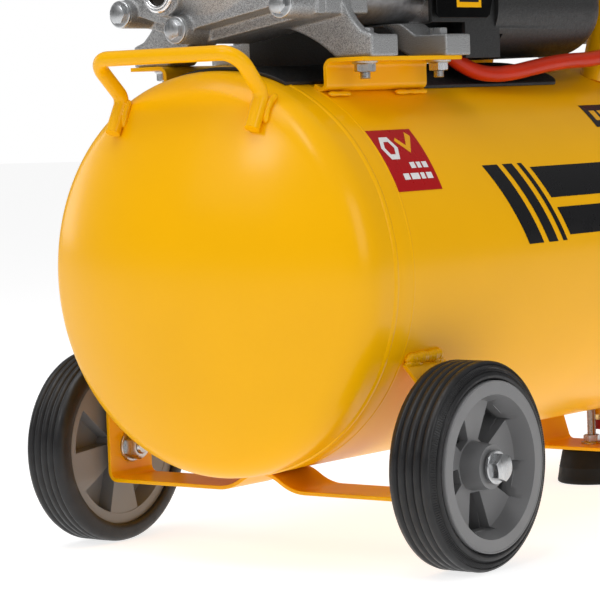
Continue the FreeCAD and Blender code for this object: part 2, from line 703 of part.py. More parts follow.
def make_crank_parts():
    centre = "cylinder_place"
    pin_height = "shaft_height + stroke / 2 + rod_length"
    crown = f"{pin_height} + 19.5"
    skirt = rod("bore - running_gap", 50, (0, centre, f"{crown} - 50"))
    grooves = [cut(rod("bore + 1", 2, (0, centre, f"{crown} - {drop}")),
                   rod("bore - 2.5", 2, (0, centre, f"{crown} - {drop}")))
               for drop in (7, 12, 18)]
    hollow = rod("bore - 5", 45, (0, centre, f"{crown} - 50.5"))
    pin_bore = rod(8, 80, (0, f"{centre} - 40", pin_height), "Y")
    bosses = [rod(13, 16, (0, f"{centre} + {start}", pin_height), "Y") for start in (-27.5, 11.5)]
    node("piston", cut(joined(cut(skirt, hollow, *grooves), *bosses), pin_bore))
    pin = cut(rod(8, 56, (0, f"{centre} - 28", pin_height), "Y"),
              rod(5, 56, (0, f"{centre} - 28", pin_height), "Y"))
    node("wrist_pin", pin)

    small = rod(13, 14, (0, f"{centre} - 7", pin_height), "Y")
    large = rod(17, 14, (0, f"{centre} - 7", f"{pin_height} - rod_length"), "Y")
    shank = block((-7, f"{centre} - 5", f"{pin_height} - rod_length + 12"),
                  (7, f"{centre} + 5", f"{pin_height} - 9"))
    dipper = rod(3, 30, (0, centre, f"{pin_height} - rod_length - 36"))
    link = cut(joined(small, large, shank, dipper),
               rod("8 + running_gap", 16, (0, f"{centre} - 8", pin_height), "Y"),
               rod(10, 16, (0, f"{centre} - 8", f"{pin_height} - rod_length"), "Y"))
    node("connecting_rod", link)

    start = f"{centre} + 7.6"
    web = joined(rod(19, 10, (0, 38, "shaft_height + stroke / 2 - 6"), "Y"),
                 slab([(-38, "shaft_height + 2"), (-38, "shaft_height - 10"),
                       (-26, "shaft_height - 29"), (0, "shaft_height - 37"),
                       (26, "shaft_height - 29"), (38, "shaft_height - 10"),
                       (38, "shaft_height + 2"), (17, "shaft_height + 22"),
                       (-17, "shaft_height + 22")], 38, 48))
    pin = rod(9.8, f"39 - ({start})", (0, start, "shaft_height + stroke / 2"), "Y")
    shaft = rod("shaft_radius", "fan_start + fan_depth + 4 - 38", (0, 38, "shaft_height"), "Y")
    node("crankshaft", joined(web, pin, shaft))


# ---------------------------------------------------------------- motor
def rounded_square(half, corner):
    """The outline of a rounded square about the shaft, as points and arcs."""
    straight = f"(({half}) - ({corner}))"
    back = f"-{straight}"
    mid = "shaft_height"
    return [(straight, f"{mid} - ({half})"), (half, f"{mid} - {straight}", straight, 1),
            (half, f"{mid} + {straight}"), (straight, f"{mid} + ({half})", straight, 1),
            (back, f"{mid} + ({half})"), (f"-({half})", f"{mid} + {straight}", back, 1),
            (f"-({half})", f"{mid} - {straight}"), (back, f"{mid} - ({half})", back, 1)]


def make_motor():
    mid = "shaft_height"
    end = "stator_start + stator_length"
    pack = slab(rounded_square("stator_half", 24), "stator_start", end)
    ties = [rod(3.3, 90, (x, "stator_start - 2", z), "Y") for x, z in tie_places()]
    bore = rod("stator_bore", "stator_length + 2", (0, "stator_start - 1", mid), "Y")
    node("stator_core", cut(pack, bore, *ties))

    def coil(start, length):
        return cut(rod(60, length, (0, start, mid), "Y"), rod(44, length, (0, start, mid), "Y"))
    node("stator_windings", group(coil("stator_start - 9.5", 9.5), coil(end, 13)))
    core = cut(rod("stator_bore - 0.5", "stator_length - 6", (0, "stator_start + 3", mid), "Y"),
               rod("shaft_radius", "stator_length", (0, "stator_start", mid), "Y"))
    node("rotor_core", core)

    def bearing(start, outer, width):
        gap = "shaft_radius + running_gap"
        return cut(rod(outer, width, (0, start, mid), "Y"), rod(gap, width, (0, start, mid), "Y"))
    node("ball_bearings", group(bearing(52, 23.5, 14), bearing("bracket_end - 15", 20, 12)))

    shell = slab(rounded_square("stator_half", 24), end, "bracket_end")
    hollow = rod("stator_half - 6", 19, (0, f"{end} - 1", mid), "Y")
    seat = rod(20, 12.2, (0, "bracket_end - 15.2", mid), "Y")
    through = rod(14, 60, (0, f"{end} - 5", mid), "Y")
    vents = [rod(8, 40, (44 * math.cos(a), f"{end} + 10", f"{mid} + {44 * math.sin(a)}"), "Y")
             for a in (math.radians(45 * step) for step in range(8))]

    def leg(side):
        points = [(0, 397.5), (0, 387), (56, 384), ("pad_inner", "deck"), ("pad_outer", "deck"),
                  ("pad_outer", "deck + pad_height"), (86, "deck + pad_height"), (72, 397.5)]
        if side < 0:
            points = mirror_points(points)
        return slab(points, 121, 153)
    bridge = block((-56, 150, 387), (56, 172, 397.5))
    root = block((-50, f"{end} + 0.5", 390), (50, 176, 408))
    holes = [rod("stud_hole", 30, (f"{side} * bolt_side", "front_bolt", "deck - 4"))
             for side in (1, -1)]
    gland = rod(9, 12, (66, 146, 383.5), "Y")
    gland_hole = rod(6.5, 14, (66, 146, 383.5), "Y")
    ties = [rod(3.3, 60, (x, f"{end} - 2", z), "Y") for x, z in tie_places()]
    body = joined(shell, bridge, root, gland, *both_sides(leg))
    node("motor_end_bracket", cut(body, hollow, seat, through, gland_hole, *vents, *holes, *ties))
    rods = [bolt(8, 4, 3, "bracket_end - 66.7", (x, "bracket_end", z), "-Y")
            for x, z in tie_places()]
    node("motor_tie_bolts", group(*rods))


def make_fan():
    mid = "shaft_height"
    hub = rod(20, "fan_depth", (0, "fan_start", mid), "Y")
    disc = rod(58, 2.5, (0, "fan_start", mid), "Y")
    blades = []
    for step in range(9):
        blade = doc.addObject("Part::Box", "blade")
        bind(blade, Length="fan_radius - 16", Width="fan_depth", Height=2.5)
        turn = Rotation(Vector(0, 1, 0), 40 * step)
        start = turn.multVec(Vector(16, 0, -1.25))
        blade.Placement = Placement(Vector(), turn)
        blade.setExpression("Placement.Base.x", str(round(start.x, 5)))
        blade.setExpression("Placement.Base.y", bound("rear_seam + fan_start"))
        blade.setExpression("Placement.Base.z", bound(f"shaft_height + ({round(start.z, 5)})"))
        blades.append(blade)
    bore = rod("shaft_radius", 60, (0, "fan_start - 5", mid), "Y")
    node("cooling_fan", cut(joined(hub, disc, *blades), bore))


def make_shroud():
    """The moulded cover over the fan: a narrow rear part and a full rounded front part."""
    def shell(grow):
        front = block((f"-shroud_half + {grow}", f"shroud_waist + {grow}", f"shroud_floor + {grow}"),
                      (f"shroud_half - {grow}", f"shroud_end - {grow}", f"shroud_roof - {grow}"))
        front = rounded(front, 40 - grow, runs_along("y"))
        nose = size(f"rear_seam + shroud_end - {grow}")

        def on_nose(edge):
            return all(abs(vertex.Point.y - nose) < 0.01 for vertex in edge.Vertexes)
        return rounded(front, 34 - grow, on_nose)
    half = "panel_half"
    rear = block((f"-{half}", "shroud_start", 398), (half, "shroud_waist + 20", "shroud_roof - 4"))
    rear = rounded(rear, 16, lambda edge: runs_along("y")(edge) and
                   edge.CenterOfMass.z > size("shaft_height"))
    rear_room = block((f"-{half} + shroud_wall", "shroud_start - 5", 380),
                      (f"{half} - shroud_wall", "shroud_waist + 15", "shroud_roof - 4 - shroud_wall"))
    rear_room = rounded(rear_room, 13, lambda edge: runs_along("y")(edge) and
                        edge.CenterOfMass.z > size("shaft_height"))

    def tab(side):
        inner = f"{side} * (panel_half - shroud_wall)"
        outer = f"{side} * panel_half"
        low, high = (inner, outer) if side > 0 else (outer, inner)
        return block((low, 184, "shroud_floor - 1"), (high, "shroud_waist + 6", 400))
    outer = joined(shell(0), rear, *both_sides(tab))
    waist = rod("fan_radius + 3", 40, (0, "shroud_waist - 20", "shaft_height"), "Y")
    grille = []
    for step in range(-5, 6):
        reach = math.sqrt(66 ** 2 - (11.5 * step) ** 2)
        grille.append(block((-reach, "shroud_end - 12", f"shaft_height + {11.5 * step - 3}"),
                            (reach, "shroud_end + 2", f"shaft_height + {11.5 * step + 3}")))
    louvres = []
    for side in (1, -1):
        for step in range(6):
            low = f"{side} * shroud_half - 6"
            y = 262 + 15 * step
            louvres.append(block((low, y, "shaft_height - 36"),
                                 (f"{side} * shroud_half + 6", f"{y} + 6", "shaft_height + 36")))
    node("fan_shroud", cut(outer, shell(3), rear_room, waist, *grille, *louvres))


def make_capacitor():
    low = "shroud_roof - 4"
    can = rod(21, 78, (0, 132, f"{low} + 21.5"), "Y")
    end = rod(22.5, 9, (0, 128, f"{low} + 22.7"), "Y")
    strap = cut(rod(24, 14, (0, 165, f"{low} + 21.5"), "Y"), rod(21, 14, (0, 165, f"{low} + 21.5"), "Y"),
                block((-30, 160, f"{low} - 10"), (30, 185, f"{low} + 0.05")))
    node("run_capacitor", joined(can, end, strap))


def make_filter():
    height = "case_top + cylinder_height + plate_height + 12"
    y = "cylinder_place - 22"
    start = "-head_half - 6"
    neck = rod(9, 10, (start, y, height), "-X")
    back = rod(32, 14, (f"{start} - 9", y, height), "-X")
    cap = turned([(0, 0), (30, 0), (30, 22), (26, 28), (20, 30), (0, 30)],
                 (f"{start} - 22", y, height), "-X")
    room = rod(24, 30, (f"{start} - 14", y, height), "-X")
    bore = rod(6, 20, (start, y, height), "-X")
    slots = []
    for step in range(12):
        angle = math.radians(30 * step)
        slots.append(rod(2, 16, (f"{start} - 26", f"{y} + {29.5 * math.cos(angle)}",
                                 f"{height} + {29.5 * math.sin(angle)}"), "-X"))
    node("air_filter", cut(joined(neck, back, cap), room, bore, *slots))


# ---------------------------------------------------------------- air lines and cable
def make_air_lines():
    port = "case_top + cylinder_height + plate_height + 12"
    check = "tank_height + tank_radius - 16"
    main = [("-head_half - 5", 48, port), (-122, 48, port),
            (-122, "valve_place", f"{port} - 150"), ("valve_side", "valve_place", f"{check} + 48"),
            ("valve_side", "valve_place", f"{check} + 25")]
    pipe, _ = tube(main, (22, 40, 34), 6)
    thin = [("valve_side", "valve_place + 11.5", f"{check} + 10"), (-100, 300, f"{check} + 10"),
            (-94, 400, 380), (-90, 448, 398), (-42, 464, 419), (-18, 467, 421),
            (-18, "control_place - switch_half - 3.5", 421)]
    unloader, _ = tube(thin, (60, 60, 20, 18, 8), 3)
    node("air_pipes", group(pipe, unloader))
    at = ("valve_side", "valve_place")
    body = joined(prism(24, 20, (*at, check)), rod(8, 6, (*at, f"{check} + 19")),
                  prism(19, 10, (*at, f"{check} + 23.5")),
                  rod(5, 14, ("valve_side", "valve_place - 2", f"{check} + 10"), "Y"))
    bore = rod(6.02, 20, (*at, f"{check} + 24.5"))
    bleed = rod(3.02, 8, ("valve_side", "valve_place + 11", f"{check} + 10"), "Y")
    node("check_valve", cut(body, bore, bleed))


CABLE_ROUTE = [
    (66, 165, 383.5), (67, 181, 379), (71, 198, 367), (77, 219, 358), (82, 250, 357.5),
    (84, 289, 363), (85, 329, 367), (87, 362, 367.5), (89, 393, 371.5), (91, 426, 380),
    (97, 462, 391.5), (98, 493, 405.5), (88, 510.5, 416), (71, 520, 420.8), (50, 520, 421),
]


def make_cable():
    """The free cable from the motor to the pressure switch."""
    places = [Vector(*point) for point in CABLE_ROUTE]
    radii = []
    for before, corner, after in zip(places, places[1:], places[2:]):
        turn = (corner - before).getAngle(after - corner)
        shorter = min((corner - before).Length, (after - corner).Length)
        radii.append(0.45 * shorter / math.tan(turn / 2))
    cable, length = tube(CABLE_ROUTE, radii, "cable_radius")
    print("cable radii", [round(radius, 1) for radius in radii], "length", round(length, 1))
    node("motor_cable", cable)
    motor_gland = cut(joined(rod(6.4, 8, (66, 150.5, 383.5), "Y"),
                             prism(17, 7, (66, 158, 383.5), "Y")),
                      rod(3, 20, (66, 150, 383.5), "Y"))
    sleeve = cone(7.4, 6.4, 9, (50, "control_place", 421), "-X")
    switch_gland = cut(joined(prism(17, 8, (35, "control_place", 421), "X"), sleeve),
                       rod(3, 30, (30, "control_place", 421), "X"))
    wall = "control_place - switch_half"
    inlet_gland = cut(joined(prism(17, 8, (18, wall, 421), "-Y"),
                             cone(7.4, 5.4, 9, (18, f"{wall} - 8", 421), "-Y")),
                      rod(3.4, 30, (18, f"{wall} + 1", 421), "-Y"))
    node("cable_glands", group(motor_gland, switch_gland, inlet_gland))


# ---------------------------------------------------------------- controls
def make_switch():
    centre = "control_place"
    low = "switch_floor"
    socket_top = "tank_height + tank_radius + 10"
    stem = rod(5.9, 16, (0, centre, f"{socket_top} - 8"))
    manifold = block((-17, f"{centre} - 17", 384), (17, f"{centre} + 17", f"{low} + 1"))
    collar = prism(22, 8, (0, centre, f"{socket_top} + 0.2"))
    ports = [rod(9, 5, (16.5, centre, "port_height"), "X"),
             rod(9, 5, (-16.5, centre, "port_height"), "-X"),
             rod(9, 5, (0, f"{centre} + 16.5", "port_height"), "Y")]
    base = block((-35, f"{centre} - switch_half", low), (35, f"{centre} + switch_half", f"{low} + 18"))
    nipple = rod(4, 3.5, (-18, f"{centre} - switch_half", 421), "-Y")
    bores = [rod(3, 40, (-20, centre, "port_height"), "X"), rod(3, 30, (0, centre, "port_height"), "Y"),
             rod(3, 40, (0, centre, "port_height - 40")),
             rod(2, 5, (-18, f"{centre} - switch_half + 1", 421), "-Y"),
             rod(3.4, 12, (18, f"{centre} - switch_half", 421), "Y")]
    body = joined(stem, collar, manifold, base, nipple, *ports)
    node("switch_base", cut(body, *bores))
    floor = f"{low} + 18"
    lid = block((-33, f"{centre} - switch_half + 2", floor),
                (33, f"{centre} + switch_half - 2", f"{floor} + 66"))
    lid = rounded(lid, 8, runs_along("z"))
    room = block((-30.5, f"{centre} - switch_half + 4.5", f"{floor} - 1"),
                 (30.5, f"{centre} + switch_half - 4.5", f"{floor} + 63"))
    collar = rod(13, 4, (0, f"{centre} - 14", f"{floor} + 65"))
    stem = rod(8.3, 12, (0, f"{centre} - 14", f"{floor} + 58"))
    node("switch_cover", cut(joined(lid, collar), room, stem))
    top = f"{floor} + 69"
    node("switch_button", joined(rod(8, 19, (0, f"{centre} - 14", f"{top} - 18")),
                                 rod(11, 7, (0, f"{centre} - 14", f"{top} + 0.5"))))


def make_safety_valve():
    centre = "control_place"
    body = joined(prism(17, 8, (21.5, centre, "port_height"), "X"),
                  rod(8, 18, (29, centre, "port_height"), "X"))
    node("safety_valve", cut(body, rod(2.1, 20, (35, centre, "port_height"), "X")))
    stem = rod(2, 22, (35.5, centre, "port_height"), "X")
    pull = ring(9, 1.1, (64, centre, "port_height"), "Y")
    node("safety_ring", joined(stem, pull))


def gauge_case(at, along, neck):
    """A hollow round case with a short threaded neck behind it."""
    case = turned([(0, 0), (20, 0), ("gauge_radius", 5), ("gauge_radius", 24), (22, 24),
                   (22, 11), (0, 11)], at, along)
    back = {"Y": "-Y", "-X": "X"}[along]
    return joined(case, rod(5, neck, at, back), prism(12, neck - 4, at, back))


def make_gauges():
    height = "port_height"
    outlet = gauge_case((0, "regulator_place + 26", height), "Y", 8)
    tank = gauge_case((-37.5, "control_place", height), "-X", 16)
    node("gauge_cases", group(outlet, tank))

    def needle(at, along):
        """A pointer at rest at the lower left of its dial, where the scale starts."""
        normal, right = {"Y": (Vector(0, 1, 0), Vector(-1, 0, 0)),
                         "-X": (Vector(-1, 0, 0), Vector(0, -1, 0))}[along]
        lean = math.radians(225)
        outward = Vector(0, 0, 1) * math.cos(lean) + right * math.sin(lean)
        side = normal.cross(outward).normalize()
        centre = Vector(*[size(text) for text in at]) + normal
        corners = [centre - outward * 6 - side * 1.2, centre - outward * 6 + side * 1.2,
                   centre + outward * 18]
        arm = doc.addObject("Part::Feature", "arm")
        arm.Shape = Part.Face(Part.makePolygon(corners + corners[:1])).extrude(normal * 0.8)
        return joined(rod(2.4, 3, at, along), place(arm))

    node("outlet_needle", needle((0, "regulator_place + 37.3", height), "Y"))
    node("tank_needle", needle((-48.8, "control_place", height), "-X"))


def make_regulator():
    centre = "regulator_place"
    height = "port_height"
    body = joined(rod(16, 26, (0, centre, f"{height} - 14")),
                  rod(9, 18, (0, f"{centre} - 30.5", height), "Y"),
                  rod(9, 18, (0, f"{centre}", height), "Y"), rod(10, 22, (0, centre, height), "X"),
                  rod(12, 8, (0, centre, f"{height} + 11")), rod(4, 16, (0, centre, f"{height} + 16")))
    bores = [rod(3, 46, (0, f"{centre} - 31", height), "Y"), rod(5, 30, (0, centre, height), "X"),
             rod(5, 8, (0, f"{centre} + 16.5", height), "Y")]
    node("regulator", cut(body, *bores))
    low = f"{height} + 20"
    knob = cut(cone(17.5, 16, 24, (0, centre, low)), rod("4 + running_gap", 14, (0, centre, low)))
    ribs = [rod(1.4, 26, (17.6 * math.cos(math.radians(20 * step)),
                          f"{centre} + {17.6 * math.sin(math.radians(20 * step))}", f"{low} - 1"))
            for step in range(18)]
    node("regulator_knob", cut(knob, *ribs))
    start = 22.1
    stem = turned([(3, start - 6), (4.95, start - 6), (4.95, start), (9.5, start), (9.5, start + 8),
                   (6, start + 8), (6, start + 36), (8.6, start + 36), (8.6, start + 40),
                   (5, start + 40), (5, start + 14), (3, start + 14)], (0, centre, height), "X")
    node("quick_coupler", stem)
    sleeve = turned([(6.08, start + 13), (10.5, start + 13), (10.5, start + 17), (9.7, start + 18),
                     (9.7, start + 29), (10.5, start + 30), (10.5, start + 35.5),
                     (6.08, start + 35.5)], (0, centre, height), "X")
    node("coupler_sleeve", sleeve)


# ---------------------------------------------------------------- tray and fasteners
def make_tray():
    """The thin curved tray that lies on the tank under the pump and the motor."""
    skin = cut(rod("tank_radius + 2.8", 352, (0, -8, "tank_height"), "Y"),
               rod("tank_radius + 0.3", 352, (0, -8, "tank_height"), "Y"))
    rear = block((-61, -8, "tank_height + 80"), (61, 150, "tank_height + 160"))
    front = block((-72, 150, "tank_height + 80"), (72, 344, "tank_height + 160"))
    front = rounded(front, 14, lambda edge: runs_along("z")(edge) and
                    edge.CenterOfMass.y > size("rear_seam + 200"))
    node("duct_tray", shared(skin, joined(rear, front)))


def make_fasteners():
    top = "deck + pad_height"
    bolts = [bolt(13, 5.3, "stud_radius", 32, (f"{side} * bolt_side", y, top), "-Z")
             for side in (1, -1) for y in ("rear_bolt", "front_bolt")]
    bolts.append(bolt(13, 5.3, "stud_radius", 52, (0, "foot_place", 12), "Z"))
    node("base_bolts", group(*bolts))

    def flange_nut(x, y, z, along):
        return cut(joined(prism(13, 8, (x, y, z), along), rod(8.8, 1.6, (x, y, z), along)),
                   rod("stud_radius", 8, (x, y, z), along))
    nuts = [flange_nut(f"{side} * bolt_side", y, "deck - sheet", "-Z")
            for side in (1, -1) for y in ("rear_bolt", "front_bolt")]
    nuts.append(flange_nut(0, "foot_place", "foot_height + sheet + 0.3", "Z"))
    node("flange_nuts", group(*nuts))


# ---------------------------------------------------------------- build and export
make_tank()
make_sockets()
make_rear_handle()
make_wheel_bracket()
make_foot_bracket()
make_pump_rails()
make_front_handle()
for wheel_side, wheel_name in ((1, "right"), (-1, "left")):
    make_wheel(wheel_side, wheel_name)
make_axles()
make_foot()
make_drain()
make_crankcase()
make_cover()
make_dipstick()
make_cylinder()
make_valve_plate()
make_head()
make_crank_parts()
make_motor()
make_fan()
make_shroud()
make_capacitor()
make_filter()
make_air_lines()
make_cable()
make_switch()
make_safety_valve()
make_gauges()
make_regulator()
make_tray()
make_fasteners()
doc.recompute()

for item in doc.Objects:
    if "Invalid" in item.State or "Error" in item.State:
        raise SystemExit(f"{item.Name} ({item.Label}) could not be computed: {item.State}")
whole = FreeCAD.BoundBox()
for item in NODES:
    if item.Shape.isNull() or not item.Shape.isValid():
        raise SystemExit(f"{item.Label} has no valid shape")
    if not item.Shape.Solids:
        raise SystemExit(f"{item.Label} has no solid")
    item.Shape.exportStep(f"parts/{item.Label}.step")
    whole.add(item.Shape.BoundBox)
print(len(NODES), "nodes; from", [round(v, 2) for v in (whole.XMin, whole.YMin, whole.ZMin)],
      "to", [round(v, 2) for v in (whole.XMax, whole.YMax, whole.ZMax)])
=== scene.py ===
"""Looks of the portable air compressor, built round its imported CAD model.

Metres, +Z up, in the CAD's own frame. Sizes in the code are in millimetres where MM or at() turns
them into metres, and places along Y are counted from the rear seam, which is the girth weld at the
wheel end of the tank.
"""
import json
from math import asin, cos, hypot, pi, radians, sin, sqrt, tan, tau

import bmesh
import bpy
from mathutils import Matrix, Vector, noise


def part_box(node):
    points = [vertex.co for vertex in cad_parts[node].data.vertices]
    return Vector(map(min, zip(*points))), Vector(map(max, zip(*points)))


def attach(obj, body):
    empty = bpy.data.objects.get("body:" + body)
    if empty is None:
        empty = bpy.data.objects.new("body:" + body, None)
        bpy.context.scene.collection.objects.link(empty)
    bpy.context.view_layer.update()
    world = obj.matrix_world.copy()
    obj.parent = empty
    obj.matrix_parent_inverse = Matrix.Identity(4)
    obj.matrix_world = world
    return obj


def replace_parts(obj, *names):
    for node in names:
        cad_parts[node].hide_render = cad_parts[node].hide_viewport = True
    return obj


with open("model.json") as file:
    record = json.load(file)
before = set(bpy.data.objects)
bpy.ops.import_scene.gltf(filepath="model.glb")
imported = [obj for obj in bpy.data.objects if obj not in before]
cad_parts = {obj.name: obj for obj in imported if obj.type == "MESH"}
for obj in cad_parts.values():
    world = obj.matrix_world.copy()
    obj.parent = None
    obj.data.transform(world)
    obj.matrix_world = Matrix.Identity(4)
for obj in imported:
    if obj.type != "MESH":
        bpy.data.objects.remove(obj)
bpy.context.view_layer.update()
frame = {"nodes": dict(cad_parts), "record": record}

MM = 0.001
NODES = frame["nodes"]
RECORD = frame["record"]
BODY_OF = {node: body for body, nodes in RECORD["behaviour"]["bodies"].items() for node in nodes}
SLOT_OF = {part["node"]: part["material_slot"] for part in RECORD["subparts"]}
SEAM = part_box("tank_shell")[0].y
TANK_LENGTH = (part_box("tank_shell")[1].y - SEAM) / MM
TANK_AXIS = 216
TANK_RADIUS = 150
SIDES = ((1, "right"), (-1, "left"))
OUTWARD = {1: "X", -1: "-X"}


def at(x, y, z):
    """A place given in millimetres, with Y counted from the rear seam."""
    return Vector((x * MM, SEAM + y * MM, z * MM))


# ---------------- camera and cable
CAMERA_PLACE = (1.3259, -1.9065, 0.3356)
CAMERA_AZIMUTH = 38.12
CAMERA_ELEVATION = 3.86
CAMERA_ROLL = -2.11
CAMERA_LENS = 169.3
CABLE_RADIUS = 0.0062
# The control points of the motor's cable, in metres, with Y counted from the rear seam.
CABLE_ROUTE = [
    (0.066, 0.165, 0.3835), (0.067, 0.181, 0.379), (0.071, 0.198, 0.367), (0.077, 0.219, 0.358),
    (0.082, 0.250, 0.3575), (0.084, 0.289, 0.363), (0.085, 0.329, 0.367), (0.087, 0.362, 0.3675),
    (0.089, 0.393, 0.3715), (0.091, 0.426, 0.380), (0.097, 0.462, 0.3915), (0.098, 0.493, 0.4055),
    (0.088, 0.5105, 0.416), (0.071, 0.520, 0.4208), (0.050, 0.520, 0.421),
]


def make_camera():
    azimuth = radians(CAMERA_AZIMUTH)
    elevation = radians(CAMERA_ELEVATION)
    roll = radians(CAMERA_ROLL)
    back = Vector((sin(azimuth) * cos(elevation),
                   -cos(azimuth) * cos(elevation), sin(elevation)))
    level = Vector((cos(azimuth), sin(azimuth), 0))
    above = back.cross(level)
    right = level * cos(roll) + above * sin(roll)
    up = above * cos(roll) - level * sin(roll)
    data = bpy.data.cameras.new("camera")
    data.lens = CAMERA_LENS
    camera = bpy.data.objects.new("camera", data)
    bpy.context.scene.collection.objects.link(camera)
    turn = Matrix((right, up, back)).transposed().to_4x4()
    camera.matrix_world = Matrix.Translation(Vector(CAMERA_PLACE)) @ turn
    bpy.context.scene.camera = camera


def make_cable():
    """The loose cable from the motor's gland to the pressure switch's."""
    curve = bpy.data.curves.new("cable", "CURVE")
    curve.dimensions = "3D"
    spline = curve.splines.new("NURBS")
    spline.points.add(len(CABLE_ROUTE) - 1)
    for point, (x, y, z) in zip(spline.points, CABLE_ROUTE):
        point.co = (x, SEAM + y, z, 1)
    spline.order_u = 3
    spline.use_endpoint_u = True
    spline.resolution_u = 24
    curve.bevel_depth = CABLE_RADIUS
    curve.bevel_resolution = 8
    curve.use_fill_caps = True
    cable = bpy.data.objects.new("cable", curve)
    bpy.context.scene.collection.objects.link(cable)
    x, y, z = CABLE_ROUTE[0]
    stand_in(cable, "motor_cable")


# ---------------- materials
class Finish:
    """One procedural material, built up from a Principled shader."""

    def __init__(self, name, colour, roughness, metallic=0.0, specular=0.5, coat=0.0,
                 coat_roughness=0.05):
        self.material = bpy.data.materials.new(name)
        self.material.use_nodes = True
        self.tree = self.material.node_tree
        self.shader = self.tree.nodes["Principled BSDF"]
        self.colour = colour
        self.set("Base Color", (*colour, 1))
        self.set("Roughness", roughness)
        self.set("Metallic", metallic)
        self.set("Specular IOR Level", specular)
        self.set("Coat Weight", coat)
        self.set("Coat Roughness", coat_roughness)
        self.place = self.add("ShaderNodeTexCoord").outputs["Object"]
        self.normal = None

    def set(self, socket, value):
        self.shader.inputs[socket].default_value = value

    def add(self, kind, **values):
        made = self.tree.nodes.new(kind)
        for key, value in values.items():
            setattr(made, key, value)
        return made

    def link(self, source, target):
        self.tree.links.new(source, target)

    def noise(self, scale, detail=3.0, stretch=(1, 1, 1)):
        """A grain of about 1/scale metres, drawn out along the axes where stretch is small."""
        mapping = self.add("ShaderNodeMapping")
        mapping.inputs["Scale"].default_value = stretch
        texture = self.add("ShaderNodeTexNoise")
        texture.inputs["Scale"].default_value = scale
        texture.inputs["Detail"].default_value = detail
        self.link(self.place, mapping.inputs["Vector"])
        self.link(mapping.outputs["Vector"], texture.inputs["Vector"])
        return texture.outputs["Fac"]

    def cells(self, scale):
        texture = self.add("ShaderNodeTexVoronoi")
        texture.inputs["Scale"].default_value = scale
        self.link(self.place, texture.inputs["Vector"])
        return texture.outputs["Distance"]

    def ramp(self, value, low, high, start=0.3, end=0.7):
        """A colour or grey that goes from low to high as a value goes from start to end."""
        ramp = self.add("ShaderNodeValToRGB")
        for element, place, colour in zip(ramp.color_ramp.elements, (start, end), (low, high)):
            element.position = place
            element.color = (*colour, 1)
        self.link(value, ramp.inputs["Fac"])
        return ramp.outputs["Color"]

    def tint(self, value, darker, lighter, start=0.3, end=0.7):
        """The colour varies between two shades of itself."""
        shades = [[min(1, part * share) for part in self.colour] for share in (darker, lighter)]
        self.link(self.ramp(value, *shades, start, end), self.shader.inputs["Base Color"])
        return self

    def gloss(self, value, low, high, start=0.3, end=0.7):
        """The roughness varies between two values."""
        grey = self.ramp(value, (low,) * 3, (high,) * 3, start, end)
        self.link(grey, self.shader.inputs["Roughness"])
        return self

    def bump(self, value, height):
        """Relief of that height in metres; several add up."""
        node = self.add("ShaderNodeBump")
        node.inputs["Distance"].default_value = height
        self.link(value, node.inputs["Height"])
        if self.normal is not None:
            self.link(self.normal, node.inputs["Normal"])
        self.normal = node.outputs["Normal"]
        self.link(self.normal, self.shader.inputs["Normal"])
        return self


def grained(name, colour, roughness, tint=None, gloss=None, bumps=(), **values):
    """A finish whose colour, roughness and relief each follow a noise of their own."""
    made = Finish(name, colour, roughness, **values)
    if tint:
        made.tint(made.noise(*tint[0]), *tint[1:])
    if gloss:
        made.gloss(made.noise(*gloss[0]), *gloss[1:])
    for grain, height in bumps:
        made.bump(made.noise(*grain), height)
    return made


def lamination_steel():
    """Stacked thin sheets, seen on their varnished edges."""
    metal = grained("lamination_steel", (0.40, 0.40, 0.41), 0.42, metallic=0.85,
                    tint=((180, 4), 0.75, 1.15))
    bands = metal.add("ShaderNodeTexWave", bands_direction="Y")
    bands.inputs["Scale"].default_value = 310
    metal.link(metal.place, bands.inputs["Vector"])
    return metal.bump(bands.outputs["Fac"], 0.00015)


def black_plastic():
    """Charcoal moulding with a fine leather-like texture."""
    plastic = grained("black_plastic", (0.012, 0.0125, 0.013), 0.46, specular=0.45,
                      tint=((900, 2), 0.82, 1.2), gloss=((400, 3), 0.36, 0.54))
    return plastic.bump(plastic.cells(900), 0.00016)


def label_film(name, colour):
    return grained(name, colour, 0.28, specular=0.15, coat=0.06, gloss=((60,), 0.24, 0.34),
                   bumps=[((500, 2), 0.00001)])


def clear_glass():
    glass = Finish("clear_glass", (1, 1, 1), 0.02)
    glass.set("Transmission Weight", 1.0)
    glass.set("IOR", 1.45)
    return glass


